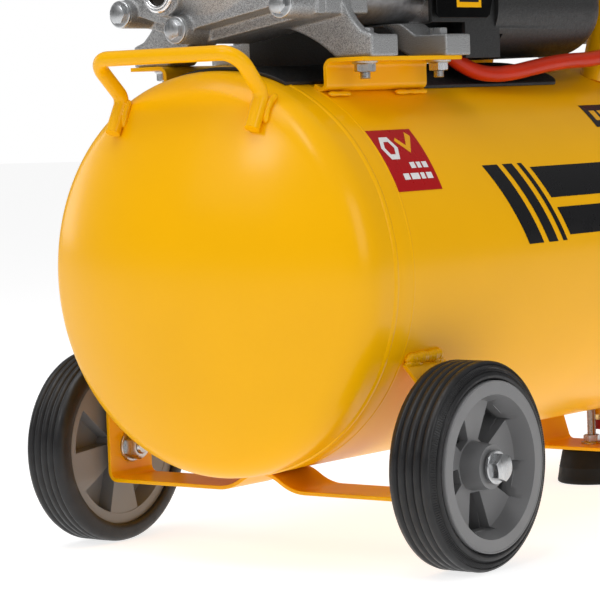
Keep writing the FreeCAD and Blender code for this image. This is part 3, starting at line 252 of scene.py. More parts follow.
# Each slot's finish. A tint or a gloss is a noise and two values, and a bump is a noise and its
# height in metres.
FINISHES = {
    "yellow_paint": grained(
        "yellow_paint", (0.93, 0.462, 0.0), 0.34, specular=0.06, coat=0.30, coat_roughness=0.20,
        tint=((9, 2), 0.97, 1.02), bumps=[((420, 2), 0.00003)]),
    "soft_rubber": grained(
        "soft_rubber", (0.007, 0.007, 0.007), 0.6, specular=0.25,
        gloss=((90,), 0.5, 0.72), bumps=[((1500, 2), 0.00006)]),
    "tyre_rubber": grained(
        "tyre_rubber", (0.010, 0.010, 0.011), 0.36, specular=0.42,
        tint=((60,), 0.75, 1.3), gloss=((140, 4), 0.30, 0.52), bumps=[((1100, 3), 0.00008)]),
    "hub_grey": grained(
        "hub_plastic", (0.20, 0.20, 0.204), 0.34, specular=0.45,
        gloss=((70,), 0.30, 0.44), bumps=[((900, 2), 0.00003)]),
    "zinc_steel": grained(
        "zinc_steel", (0.54, 0.55, 0.56), 0.3, metallic=1.0, tint=((260, 4), 0.90, 1.05),
        gloss=((500, 3, (1, 1, 0.15)), 0.24, 0.36), bumps=[((800, 2, (1, 1, 0.2)), 0.000006)]),
    "brass_fittings": grained(
        "brass", (0.80, 0.56, 0.24), 0.28, metallic=1.0, tint=((120, 4), 0.8, 1.08),
        gloss=((300, 3), 0.2, 0.4), bumps=[((900, 2, (0.2, 1, 1)), 0.00003)]),
    "red_plastic": grained(
        "red_plastic", (0.50, 0.012, 0.010), 0.3, coat=0.2,
        tint=((60,), 0.9, 1.05), bumps=[((1200, 2), 0.00003)]),
    # A bead-blasted casting: grey with a fine sparkle and shallow pits.
    "cast_aluminium": grained(
        "cast_aluminium", (0.385, 0.39, 0.395), 0.48, metallic=0.72, specular=0.4,
        tint=((1500, 2), 0.55, 1.35, 0.35, 0.65), gloss=((700, 3), 0.36, 0.62),
        bumps=[((1300, 2), 0.00022), ((160, 3), 0.00025)]),
    "sight_glass": grained(
        "turned_aluminium", (0.80, 0.80, 0.81), 0.24, metallic=1.0,
        gloss=((600, 3), 0.16, 0.34), bumps=[((1500, 2, (1, 0.1, 1)), 0.00003)]),
    "cylinder_iron": grained(
        "cylinder_iron", (0.085, 0.086, 0.088), 0.5, metallic=0.35,
        tint=((120, 4), 0.7, 1.3), bumps=[((900, 3), 0.00018)]),
    "lamination_steel": lamination_steel(),
    "copper_winding": grained(
        "copper_winding", (0.60, 0.22, 0.07), 0.3, metallic=0.9, coat=0.4,
        bumps=[((900, 2, (1, 0.1, 1)), 0.0004)]),
    "black_plastic": black_plastic(),
    "orange_cable": grained(
        "cable_rubber", (0.56, 0.026, 0.003), 0.32, specular=0.28,
        tint=((50,), 0.92, 1.06), gloss=((200, 3), 0.28, 0.42), bumps=[((900, 2), 0.00003)]),
    "pipe_aluminium": grained(
        "drawn_aluminium", (0.78, 0.78, 0.79), 0.3, metallic=1.0,
        gloss=((220, 4), 0.22, 0.42), bumps=[((300, 2), 0.00004)]),
    "gauge_case": grained(
        "gloss_black", (0.002, 0.002, 0.0022), 0.14, specular=0.13,
        gloss=((50,), 0.10, 0.2), bumps=[((300, 2), 0.00002)]),
    "needle": label_film("needle_paint", (0.55, 0.01, 0.01)),
}
MATERIALS = {slot: finish.material for slot, finish in FINISHES.items()}


# ---------------- building helpers
def new_object(name, bm, smooth=30):
    """An object from a bmesh, shaded smooth except over edges sharper than an angle."""
    bmesh.ops.recalc_face_normals(bm, faces=bm.faces)
    for face in bm.faces:
        face.smooth = True
    limit = radians(smooth)
    for edge in bm.edges:
        edge.smooth = len(edge.link_faces) == 2 and edge.calc_face_angle(0) < limit
    mesh = bpy.data.meshes.new(name)
    bm.to_mesh(mesh)
    bm.free()
    made = bpy.data.objects.new(name, mesh)
    bpy.context.scene.collection.objects.link(made)
    return made


def dress(piece, material, body):
    """Give a piece its one material and its body."""
    piece.data.materials.clear()
    piece.data.materials.append(material)
    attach(piece, body)
    return piece


def stand_in(piece, node):
    """The piece takes the place, body, slot and finish of a CAD node."""
    slot = SLOT_OF[node]
    dress(piece, MATERIALS[slot], BODY_OF[node])
    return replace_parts(piece, node)


def detail(piece, host, slot=None, material=None):
    """An added detail that moves with a CAD node's body, in its slot's finish or its own."""
    return dress(piece, material or MATERIALS[slot], BODY_OF[host])


def settled(piece):
    """The piece with its modifiers turned into mesh."""
    graph = bpy.context.evaluated_depsgraph_get()
    mesh = bpy.data.meshes.new_from_object(piece.evaluated_get(graph))
    piece.modifiers.clear()
    piece.data = mesh
    return piece


def eased(node, width, segments=2, angle=32):
    """The CAD shape with its edges broken, as on pressed, machined or moulded work."""
    bm = bmesh.new()
    bm.from_mesh(NODES[node].data)
    bmesh.ops.remove_doubles(bm, verts=bm.verts, dist=2e-6)
    bmesh.ops.dissolve_limit(bm, angle_limit=radians(0.4), verts=bm.verts, edges=bm.edges)
    piece = new_object(node + "_eased", bm, 25)
    bevel = piece.modifiers.new("ease", "BEVEL")
    bevel.width = width * MM
    bevel.segments = segments
    bevel.limit_method = "ANGLE"
    bevel.angle_limit = radians(angle)
    bevel.use_clamp_overlap = True
    weighted = piece.modifiers.new("normals", "WEIGHTED_NORMAL")
    weighted.keep_sharp = True
    return stand_in(settled(piece), node)


def softened(node, voxel, passes, keep=0.3):
    """The CAD shape with its edges melted round, as on cast or welded work."""
    bm = bmesh.new()
    bm.from_mesh(NODES[node].data)
    piece = new_object(node + "_cast", bm)
    skin = piece.modifiers.new("skin", "REMESH")
    skin.mode = "VOXEL"
    skin.voxel_size = voxel * MM
    skin.use_smooth_shade = True
    smooth = piece.modifiers.new("melt", "SMOOTH")
    smooth.iterations = passes
    thin = piece.modifiers.new("thin", "DECIMATE")
    thin.ratio = keep
    return stand_in(settled(piece), node)


def filleted(points, radius, steps=4):
    """A profile with each inner corner turned into an arc of up to that radius."""
    path = [Vector(point) for point in points]
    made = [path[0]]
    for before, corner, after in zip(path, path[1:], path[2:]):
        into = before - corner
        out = after - corner
        half = into.angle(out) / 2
        if half > radians(89):
            made.append(corner)
            continue
        reach = min(radius / tan(half), into.length * 0.49, out.length * 0.49)
        true = reach * tan(half)
        bisector = (into.normalized() + out.normalized()).normalized()
        middle = corner + bisector * true / sin(half)
        first = corner + into.normalized() * reach - middle
        last = corner + out.normalized() * reach - middle
        for step in range(steps + 1):
            made.append(middle + first.slerp(last, step / steps))
    made.append(path[-1])
    return made


def turns(count):
    """The angles of so many even steps round a circle."""
    return [tau * step / count for step in range(count)]


# For each axis, the turn that brings a shape drawn along +Z onto it.
AXES = {
    "X": Matrix(((0, 0, 1), (1, 0, 0), (0, 1, 0))),
    "-X": Matrix(((0, 0, -1), (-1, 0, 0), (0, 1, 0))),
    "Y": Matrix(((0, 1, 0), (0, 0, 1), (1, 0, 0))),
    "-Y": Matrix(((0, -1, 0), (0, 0, -1), (1, 0, 0))),
    "Z": Matrix(((1, 0, 0), (0, 1, 0), (0, 0, 1))),
    "-Z": Matrix(((1, 0, 0), (0, -1, 0), (0, 0, -1))),
}


def skin_into(bm, first, second):
    """Faces between two closed rings with the same number of vertices."""
    for step in range(len(first)):
        after = (step + 1) % len(first)
        bm.faces.new((first[step], first[after], second[after], second[step]))


def prism_into(bm, *outlines):
    """A closed solid between two outlines with the same number of places."""
    near, far = [[bm.verts.new(place) for place in outline] for outline in outlines]
    bm.faces.new(near)
    bm.faces.new(far)
    skin_into(bm, near, far)


def lathe_into(bm, profile, place, axis, segments=96, closed=False):
    """Turn a profile of (radius, along) in millimetres round an axis through a place."""
    turn = AXES[axis]
    rings = []
    for radius, along in profile:
        if radius < 1e-6:
            rings.append([bm.verts.new(place + turn @ Vector((0, 0, along * MM)))])
            continue
        ring = []
        for angle in turns(segments):
            spot = Vector((radius * cos(angle), radius * sin(angle), along)) * MM
            ring.append(bm.verts.new(place + turn @ spot))
        rings.append(ring)
    last = rings[:1] if closed else []
    for first, second in zip(rings, rings[1:] + last):
        for step in range(segments):
            after = (step + 1) % segments
            corners = [first[step % len(first)], first[after % len(first)],
                       second[after % len(second)], second[step % len(second)]]
            unique = list(dict.fromkeys(corners))
            if len(unique) > 2:
                bm.faces.new(unique)
    return rings


def lathe(name, profile, place, axis, segments=96, closed=False):
    bm = bmesh.new()
    lathe_into(bm, profile, place, axis, segments, closed)
    return new_object(name, bm)


HEX_STEPS = 72
HEX_LAND = 0.475  # radius of the flat top, as a share of the width across the flats
HEX_CORE = 0.4  # radius that is left in the middle of a head without a hole
FLANGE_SUNK = 1.6  # where a flange nut's hexagon begins, inside its flange
FLANGE_RIM = 0.8
FLANGE_TOP = 1.9


def hex_into(bm, across, height, place, axis, hole=0.0, washer=0.0, turn=0.0):
    """A hexagon with its corners chamfered at 30 degrees, as on a bolt head or a nut."""
    frame_turn = AXES[axis]
    core = hole or HEX_CORE
    land = across * HEX_LAND
    lean = tan(radians(30))
    base = FLANGE_SUNK if washer else 0.0
    up = Vector((0, 0, 1))
    rows = [[], [], [], []]
    for angle in turns(HEX_STEPS):
        off = (angle + pi / 6) % (pi / 3) - pi / 6
        reach = across / 2 / cos(off)
        drop = max(0.0, (reach - land) * lean)
        spin = angle + radians(turn)
        rim = Vector((cos(spin), sin(spin), 0))
        spots = (rim * core + up * height, rim * land + up * height,
                 rim * reach + up * (height - drop), rim * reach + up * base)
        for row, spot in zip(rows, spots):
            row.append(bm.verts.new(place + frame_turn @ (spot * MM)))
    lip = []
    for spin in turns(HEX_STEPS):
        spot = Vector((cos(spin) * core, sin(spin) * core, base))
        lip.append(bm.verts.new(place + frame_turn @ (spot * MM)))
    rows.append(lip)
    for first, second in zip(rows, rows[1:] + rows[:1]):
        skin_into(bm, first, second)
    if not hole:
        bm.faces.new(rows[0])
        bm.faces.new(lip)
    if washer:
        flange = filleted([(core, 0), (washer, 0), (washer, FLANGE_RIM), (across / 2, FLANGE_TOP),
                           (core, FLANGE_TOP)], 0.3)
        lathe_into(bm, flange, place, axis, 48, closed=True)


def thread_into(bm, radius, length, place, axis, pitch=1.25):
    """A threaded length, as a stack of ridges with a narrower tip."""
    root, tip = radius * 0.87, radius * 0.8
    profile = [(0.0, 0.0)]
    along = 0.0
    while along < length - pitch:
        profile += [(root, along + 0.1), (radius, along + pitch * 0.45),
                    (radius, along + pitch * 0.6), (root, along + pitch)]
        along += pitch
    profile += [(tip, length), (0.0, length)]
    lathe_into(bm, profile, place, axis, 32)


WELD_SIDES = 14
WELD_PITCH = 3.0
WELD_STEPS = 4  # rings of vertices in one pitch
WELD_RIPPLE = 4.6  # rings from one ripple to the next
WELD_SHIFT = Vector((3, 1, 2))


def weld(name, points, radius, host="tank_shell", flatten=0.6, closed=False):
    """A hand-laid bead of weld along points, rippled, lumpy and with rounded ends."""
    path = [Vector(point) for point in points]
    if closed:
        path.append(path[0])
    spots = []
    for first, last in zip(path, path[1:]):
        steps = max(2, int((last - first).length / (WELD_PITCH * MM / WELD_STEPS)))
        spots += [first.lerp(last, step / steps) for step in range(steps)]
    if not closed:
        spots.append(path[-1])
    bm = bmesh.new()
    rings = []
    for index, spot in enumerate(spots):
        after = index + 1
        ahead = spots[after % len(spots) if closed else min(after, len(spots) - 1)]
        behind = spots[index - 1] if closed or index else spots[0]
        along = (ahead - behind).normalized()
        outward = Vector((spot.x, 0, spot.z - TANK_AXIS * MM))
        outward = (outward - along * outward.dot(along)).normalized()
        side = along.cross(outward)
        ripple = 0.5 + 0.5 * sin(tau * index / WELD_RIPPLE)
        lump = noise.noise(spot * 160)
        edge = min(index, len(spots) - 1 - index) * WELD_PITCH / WELD_STEPS / radius
        end = 1.0 if closed else sqrt(max(0.03, 1 - max(0.0, 1 - edge * 0.7) ** 2))
        wide = radius * MM * (1 + 0.07 * ripple + 0.30 * lump) * end
        shift = side * noise.noise(spot * 90 + WELD_SHIFT) * radius * MM * 0.3
        ring = []
        for angle in turns(WELD_SIDES):
            lift = outward * sin(angle) * wide * flatten
            ring.append(bm.verts.new(spot + shift + side * cos(angle) * wide + lift))
        rings.append(ring)
    if not closed:
        bm.faces.new(rings[0])
        bm.faces.new(rings[-1])
    for first, second in zip(rings, rings[1:] + (rings[:1] if closed else [])):
        skin_into(bm, first, second)
    return detail(new_object(name, bm, 60), host, "yellow_paint")


def on_tank(theta, y, lift=0.0):
    """A place on the tank's side: degrees from the top towards +X, then millimetres of Y."""
    turn = radians(theta)
    reach = TANK_RADIUS + lift
    return at(reach * sin(turn), y, TANK_AXIS + reach * cos(turn))


# ---------------- tank
HEAD_CROWN = 287.3
HEAD_KNUCKLE = 30
HEAD_DEPTH = 77
HEAD_SKIRT = 17.3
HEAD_TANGENT = 134  # distance from the axis where the crown meets the knuckle
GIRTH_WELD = (3.2, 0.85)  # half width and height of a bead
JOGGLE = (1.4, 0.32)
JOGGLE_INSET = 20


def head_profile():
    """A dished head: flat skirt, knuckle and crown, as (radius, distance beyond the seam)."""
    centre_radius = TANK_RADIUS - HEAD_KNUCKLE
    tangent = asin(centre_radius / (HEAD_CROWN - HEAD_KNUCKLE))
    profile = [(TANK_RADIUS - 0.6, -4), (TANK_RADIUS, 0.5), (TANK_RADIUS, HEAD_SKIRT)]
    for step in range(1, 17):
        turn = (pi / 2 - tangent) * step / 16
        profile.append((centre_radius + HEAD_KNUCKLE * cos(turn),
                        HEAD_SKIRT + HEAD_KNUCKLE * sin(turn)))
    for step in range(1, 33):
        turn = tangent * (1 - step / 32)
        profile.append((HEAD_CROWN * sin(turn),
                        HEAD_DEPTH - HEAD_CROWN * (1 - cos(turn))))
    return profile


def make_tank():
    shell = [(TANK_RADIUS - 3, 0), (TANK_RADIUS - 0.3, 0.2), (TANK_RADIUS, 1.2)]
    for step in range(1, 40):
        shell.append((TANK_RADIUS, TANK_LENGTH * step / 40))
    shell += [(TANK_RADIUS, TANK_LENGTH - 1.2), (TANK_RADIUS - 0.3, TANK_LENGTH - 0.2),
              (TANK_RADIUS - 3, TANK_LENGTH)]
    stand_in(lathe("tank_shell_skin", shell, at(0, 0, TANK_AXIS), "Y", 192), "tank_shell")
    bm = bmesh.new()
    lathe_into(bm, head_profile(), at(0, 0, TANK_AXIS), "-Y", 192)
    lathe_into(bm, head_profile(), at(0, TANK_LENGTH, TANK_AXIS), "Y", 192)
    stand_in(new_object("tank_heads_skin", bm, 40), "tank_heads")
    beads = (("weld_rear", -1, GIRTH_WELD), ("weld_front", TANK_LENGTH + 1, GIRTH_WELD),
             ("joggle_rear", JOGGLE_INSET, JOGGLE),
             ("joggle_front", TANK_LENGTH - JOGGLE_INSET, JOGGLE))
    for name, y, (wide, high) in beads:
        ring = [at(TANK_RADIUS * cos(turn), y, TANK_AXIS + TANK_RADIUS * sin(turn))
                for turn in turns(90)]
        seam_bead(name, ring, wide, high)


def seam_bead(name, ring, wide, high):
    """A low, even bead that a machine laid round the tank, under thick paint."""
    shape = [(-1.0, -0.2), (-0.72, 0.35), (-0.35, 0.85), (0.0, 1.0), (0.35, 0.85), (0.72, 0.35),
             (1.0, -0.2)]
    y = ring[0].y / MM
    bm = bmesh.new()
    rings = []
    for turn in turns(len(ring) * 6):
        sway = 0.35 * noise.noise(Vector((cos(turn), sin(turn), y)) * 5)
        swell = 1 + 0.12 * noise.noise(Vector((cos(turn), sin(turn), y)) * 22)
        row = []
        for across, lift in shape:
            reach = (TANK_RADIUS + lift * high * swell) * MM
            row.append(bm.verts.new((reach * sin(turn),
                                     ring[0].y + (across * wide + sway) * MM,
                                     TANK_AXIS * MM + reach * cos(turn))))
        rings.append(row)
    for first, second in zip(rings, rings[1:] + rings[:1]):
        skin_into(bm, first, second)
    detail(new_object(name, bm, 80), "tank_shell", "yellow_paint")


def on_head(x, z, lift=0.0):
    """A place on the rear head's outside, at that X and height."""
    reach = hypot(x, z - TANK_AXIS)
    if reach < HEAD_TANGENT:
        deep = HEAD_DEPTH - HEAD_CROWN + sqrt(HEAD_CROWN ** 2 - reach ** 2)
    else:
        across = min(reach - (TANK_RADIUS - HEAD_KNUCKLE), HEAD_KNUCKLE)
        deep = HEAD_SKIRT + sqrt(HEAD_KNUCKLE ** 2 - across ** 2)
    return at(x, -deep - lift, z)


HANDLE_LEG = 66  # X of the grab handle's legs
HANDLE_WELD_OFF = 6.6  # from a leg's middle to the welds beside it
HANDLE_WELD_FOOT = 327  # the height where they begin
# X, Z, start and end along Y, and bead radius of the welds on the wheel bracket's tabs.
BRACKET_WELDS = ((138.2, 154.0, (23, 67), 4.6), (137.4, 149.6, (22, 44), 3.4),
                 (137.4, 149.6, (52, 69), 3.2))
RAIL_TOE = (78.6, 346.0)  # X and Z of the rails' lower edges
RAIL_WELDS = ((21, 47), (103, 143))
FOOT_STRIP_EDGES = (459, 515)
FOOT_WELD_ANGLES = (158.2, 163, 168)
SOCKETS = {"socket_weld_check": (-102, 240), "socket_weld_switch": (0, 520)}
SOCKET_RADIUS = 13.2


def make_welds():
    """Hand-laid beads where the handle, brackets, rails and sockets meet the tank."""
    for side, name in SIDES:
        for edge, where in ((HANDLE_WELD_OFF, "outer"), (-HANDLE_WELD_OFF, "inner")):
            spots = [on_head(side * HANDLE_LEG + edge * (0.86 - 0.05 * k),
                             HANDLE_WELD_FOOT + 5 * k, 0.6 + 0.9 * k) for k in range(5)]
            weld(f"handle_weld_{name}_{where}", spots, 2.7, "tank_heads", flatten=1.1)
        for index, (x, z, ends, wide) in enumerate(BRACKET_WELDS):
            bead = [at(side * x, y, z) for y in ends]
            weld(f"bracket_weld_{name}_{index}", bead, wide, flatten=0.85)
        for index, ends in enumerate(RAIL_WELDS):
            bead = [at(side * RAIL_TOE[0], y, RAIL_TOE[1]) for y in ends]
            weld(f"rail_weld_{name}_{index}", bead, 2.0, flatten=0.8)
        for index, y in enumerate(FOOT_STRIP_EDGES):
            bead = [on_tank(side * theta, y) for theta in FOOT_WELD_ANGLES]
            weld(f"foot_weld_{name}_{index}", bead, 2.0, flatten=0.7)
    for name, (x, y) in SOCKETS.items():
        ring = []
        for turn in turns(32):
            side, back = x + SOCKET_RADIUS * cos(turn), y + SOCKET_RADIUS * sin(turn)
            ring.append(at(side, back, TANK_AXIS + sqrt(TANK_RADIUS ** 2 - side ** 2)))
        weld(name, ring, 2.2, flatten=0.9, closed=True)


# ---------------- wheels
WHEEL_FACE = 155  # X of a wheel's inner face
AXLE_Y = 46
AXLE_Z = 76
TYRE_TEETH = 240
TEETH_HEIGHT = 1.3
TYRE_SHOULDER = 73  # the worn tread lies outside this radius
GROOVES = (9.2, 15.8, 22.4, 29.0)
GAPS = 5  # between the spokes
GAP_TURN = 54  # where the first one is, in degrees
# Corners of a panel behind a gap: radius, and degrees to each side of the gap's middle.
PANEL_INNER = (16.6, 27)
PANEL_OUTER = (54.6, 17.2)
PANEL_DEPTHS = (4.4, 6.8)
RIB_DEPTHS = (6.6, 17.6)


def wheel_place(side, angle=0.0, radius=0.0, depth=0.0):
    """A place in a wheel: angle and radius round its axle, and depth from its inner face."""
    return Vector((side * (WHEEL_FACE + depth) * MM,
                   SEAM + (AXLE_Y + radius * cos(angle)) * MM,
                   (AXLE_Z + radius * sin(angle)) * MM))


def make_tyre(side, name):
    """A solid rubber tyre with four round grooves, a knurled band and a smooth inner ring."""
    inner = [(62, 1.2), (63, 0.3), (66, 0.0), (70, 0.2), (73.2, 1.3), (75.2, 3.4), (76, 6.4)]
    tread = []
    for groove in GROOVES:
        tread += [(76, groove - 2.4), (75.7, groove - 1.5), (74.7, groove - 0.7),
                  (74.0, groove), (74.7, groove + 0.7), (75.7, groove + 1.5),
                  (76, groove + 2.4), (76, groove + 3.3)]
    outer = [(76, 33.2), (75.4, 34.9), (74.2, 36.0), (73.5, 36.1), (73.2, 35.6), (72.6, 36.2),
             (69.3, 38.4), (68.9, 38.2), (68.4, 37.7), (68.0, 37.9), (67.6, 38.9), (66.9, 39.6),
             (65.6, 40.0), (64.0, 39.8), (63.0, 39.2), (62.5, 38.2), (62, 37.6)]
    profile = inner + tread + outer
    bm = bmesh.new()
    place = wheel_place(side)
    rings = lathe_into(bm, profile, place, OUTWARD[side], 192, closed=True)
    for (radius, _), ring in zip(profile, rings):
        if radius < TYRE_SHOULDER:
            continue
        for vertex in ring:
            spoke = Vector((0, vertex.co.y - place.y, vertex.co.z - place.z)).normalized()
            vertex.co -= spoke * abs(noise.noise(vertex.co * 35)) * 0.2 * MM
    band = [(72.9, 35.5), (72.5, 36.9), (69.6, 38.9), (69.0, 37.6)]
    teeth = lathe_into(bm, band, place, OUTWARD[side], TYRE_TEETH * 4, closed=True)
    for ring in teeth[1:3]:
        for step, vertex in enumerate(ring):
            if step % 4 < 2:
                vertex.co.x -= side * TEETH_HEIGHT * MM
    stand_in(new_object(f"tyre_{name}_rubber", bm, 40), "tyre_" + name)


def make_hub_panels(side, name):
    """Inner panels behind the gaps between the spokes, each with two ribs that join it to them."""
    inner_radius, inner_turn = PANEL_INNER
    outer_radius, outer_turn = PANEL_OUTER
    panel = [(radians(inner_turn - 2 * inner_turn * k / 5), inner_radius) for k in range(6)]
    panel += [(radians(-outer_turn + 2 * outer_turn * k / 7), outer_radius) for k in range(8)]
    bm = bmesh.new()
    for index in range(GAPS):
        middle = radians(360 // GAPS * index + GAP_TURN)

        def layer(outline, depth):
            return [wheel_place(side, middle + off, radius, depth) for off, radius in outline]

        prism_into(bm, *[layer(panel, depth) for depth in PANEL_DEPTHS])
        for end in (1, -1):
            near, far = end * radians(inner_turn), end * radians(outer_turn)
            wall = [(near, inner_radius), (near * 0.80, inner_radius), (far * 0.88, 52.6),
                    (far, 53.4)]
            prism_into(bm, *[layer(wall, depth) for depth in RIB_DEPTHS])
    detail(new_object(f"hub_panels_{name}", bm), "wheel_hub_" + name, "hub_grey")


def make_wheels():
    for side, name in SIDES:
        make_tyre(side, name)
        eased("wheel_hub_" + name, 1.0, 3, 24)
        lip = [(61.2, 40.9), (61.7, 41.2), (61.6, 41.7), (61.0, 41.8), (60.5, 41.3)]
        detail(lathe(f"rim_lip_{name}", lip, wheel_place(side), OUTWARD[side], 120, closed=True),
               "wheel_hub_" + name, "hub_grey")
        make_hub_panels(side, name)


AXLE_RADIUS = 6
AXLE_KEY = 18  # width across the flats of head and nut
AXLE_HEAD = 198.4  # X of the head's seat
AXLE_SHANK = (151, 198.5)
AXLE_THREAD = 151.6
AXLE_NUT = 147.8
WASHERS = ((196.5, AXLE_HEAD), (153.05, 154.9), (147.9, 149.95))


def rod_into(bm, radius, low, high, place, axis, segments=24):
    """A plain round rod from low to high along an axis."""
    lathe_into(bm, [(0, low), (radius, low), (radius, high), (0, high)], place, axis, segments)


def make_axles():
    bolts = bmesh.new()
    loose = bmesh.new()
    spot = at(0, AXLE_Y, AXLE_Z)
    for side, _ in SIDES:
        axis, inward = OUTWARD[side], OUTWARD[-side]
        step = Vector((side * MM, 0, 0))
        hex_into(bolts, AXLE_KEY, 7.2, spot + step * AXLE_HEAD, axis, turn=11 * side)
        rod_into(bolts, AXLE_RADIUS, *AXLE_SHANK, spot, axis, 48)
        thread_into(bolts, AXLE_RADIUS, 15.2, spot + step * AXLE_THREAD, inward, 1.6)
        for low, high in WASHERS:
            ring = filleted([(6.3, low), (12, low), (12, high), (6.3, high)], 0.5)
            lathe_into(loose, ring, spot, axis, 64, closed=True)
        hex_into(loose, AXLE_KEY, 9.3, spot + step * AXLE_NUT, inward, hole=5.6)
    stand_in(new_object("axle_bolts_turned", bolts, 35), "axle_bolts")
    stand_in(new_object("axle_nuts_turned", loose, 35), "axle_nuts_washers")


M8 = 4  # radius of an M8 bolt
M8_KEY = 13  # width across the flats of its head
M8_BORE = 3.6  # a nut's hole, inside the thread
COVER_FACE = -28  # Y of the crankcase cover's front
COVER_SCREWS = ((-76, 411), (-23, 397), (76, 411), (79, 462), (76, 512), (-76, 512), (-79, 462))
BASE_BOLTS = ((95, 44), (95, 137), (-95, 44), (-95, 137))
FOOT_Y = 487


def make_fixings():
    screws = bmesh.new()
    for index, (x, z) in enumerate(COVER_SCREWS):
        place = at(x, COVER_FACE, z)
        ring = filleted([(4.2, 0), (9.6, 0), (9.6, 1.4), (4.2, 1.4)], 0.4)
        lathe_into(screws, ring, place, "-Y", 48, closed=True)
        hex_into(screws, M8_KEY, 5.2, place - Vector((0, 0.1 * MM, 0)), "-Y", turn=index * 23)
        rod_into(screws, M8, 0, 44.5, place, "Y")
    stand_in(new_object("cover_screws", screws, 35), "cover_bolts")
    bolts = bmesh.new()
    nuts = bmesh.new()
    for index, (x, y) in enumerate(BASE_BOLTS):
        hex_into(bolts, M8_KEY, 5.3, at(x, y, 388), "Z", turn=17 + 31 * index)
        rod_into(bolts, M8, 366, 388.4, at(x, y, 0), "Z")
        thread_into(bolts, M8, 11.5, at(x, y, 367.5), "-Z")
        hex_into(nuts, 14, 7.9, at(x, y, 369), "-Z", hole=M8_BORE, washer=8.9,
                 turn=8 + 19 * index)
    hex_into(bolts, M8_KEY, 5.3, at(0, FOOT_Y, 12), "-Z", turn=10)
    rod_into(bolts, M8, 10, 36, at(0, FOOT_Y, 0), "Z")
    thread_into(bolts, M8, 28, at(0, FOOT_Y, 36), "Z")
    hex_into(nuts, M8_KEY, 7.9, at(0, FOOT_Y, 33.3), "Z", hole=M8_BORE, washer=8.7, turn=14)
    stand_in(new_object("base_bolts_turned", bolts, 35), "base_bolts")
    stand_in(new_object("flange_nuts_turned", nuts, 35), "flange_nuts")


# ---------------- labels
FILM = 0.25  # how far a label stands off its surface, and how far its print does
PRINT = 0.40


def patch_into(bm, corners, cells, spot):
    """A four-sided patch of (u, v) laid on a surface that spot() describes."""
    grid = []
    first, second, third, fourth = [Vector(corner) for corner in corners]
    for row in range(cells + 1):
        down = row / cells
        left, right = first.lerp(fourth, down), second.lerp(third, down)
        grid.append([bm.verts.new(spot(*left.lerp(right, k / cells))) for k in range(cells + 1)])
    for row in range(cells):
        for k in range(cells):
            bm.faces.new((grid[row][k], grid[row][k + 1], grid[row + 1][k + 1], grid[row + 1][k]))


def ring_into(bm, middle, outer, inner, spot, steps=6):
    """A ring with straight sides, a little taller than it is wide."""
    rows = [[], []]
    for turn in turns(steps):
        for row, reach in zip(rows, (outer, inner)):
            row.append(bm.verts.new(spot(middle[0] + reach * cos(turn),
                                         middle[1] + reach * 1.15 * sin(turn))))
    skin_into(bm, *rows)


def bar(u, v, wide, high):
    return ((u, v), (u + wide, v), (u + wide, v + high), (u, v + high))


def printed(name, patches, spot, material, cells, host="tank_shell", slot=None, rings=()):
    """A thin film, or the print on one, made of patches and rings."""
    bm = bmesh.new()
    for corners in patches:
        patch_into(bm, corners, cells, spot)
    for middle, outer, inner in rings:
        ring_into(bm, middle, outer, inner, spot)
    detail(new_object(name, bm, 60), host, slot, material)


def make_labels():
    red = label_film("label_red", (0.42, 0.004, 0.006)).material
    white = label_film("label_white", (0.80, 0.80, 0.80)).material
    amber = label_film("label_amber", (0.86, 0.42, 0.01)).material
    dark = label_film("label_dark", (0.010, 0.010, 0.011)).material
    arc = radians(1) * TANK_RADIUS

    def tank_spot(y, theta, lift):
        return lambda u, v: on_tank(theta + v / arc, y + u, lift)

    seal = tank_spot(19.4, 47, FILM)
    marks = tank_spot(19.4, 47, PRINT)
    printed("label_seal", [bar(0, 0, 55.6, 53)], seal, red, 16, slot="red_plastic")
    rows = [bar(29, 30, 6, 5), bar(37, 30, 5, 5), bar(44, 30, 6, 5),
            bar(15, 39, 7, 5), bar(24, 39, 10, 5), bar(36, 39, 5, 5), bar(43, 39, 7, 5)]
    printed("label_seal_white", rows, marks, white, 2, rings=[((16, 17), 10, 5.6)])
    chevron = [((27, 11), (30, 8), (40, 18), (38, 22)), ((38, 22), (37, 16), (46, 3), (50, 7))]
    printed("label_seal_amber", chevron, marks, amber, 3)
    stripe = tank_spot(137, 61, FILM)
    bands = [((0, 0), (20, 0), (54, 64), (34, 64)), ((27, 0), (40, 0), (74, 64), (61, 64)),
             ((47, 0), (53, 0), (87, 64), (81, 64)), ((62, 4), (330, 4), (330, 30), (75.8, 30)),
             ((80, 38), (330, 38), (330, 60), (91.7, 60))]
    printed("stripes_right", bands, stripe, dark, 24)

    def left(u, v):
        return on_tank(-61 - v / arc, 470 - u, FILM)

    printed("stripes_left", bands, left, dark, 24)
    plate = tank_spot(327, 40.3, FILM)
    lines = tank_spot(327, 40.3, PRINT)
    printed("label_notes", [bar(0, 0, 110, 25)], plate, dark, 16)
    notes = [bar(7 + 12 * k, 7, 8, 11) for k in range(3)]
    notes += [bar(46, 6 + 5 * k, 56 - 9 * k, 2.4) for k in range(3)]
    printed("label_notes_amber", notes, lines, amber, 4)


# ---------------- gauges, grip and foot
DIAL_RADIUS = 20.6
DIAL_HEIGHT = 398
DIAL_START = 225  # the angle of the dial's zero, in degrees, and how far it turns
DIAL_SWEEP = 270
DIAL_TICKS = 48
DIAL_NUMBERS = 6
INK_LIFT = 0.36


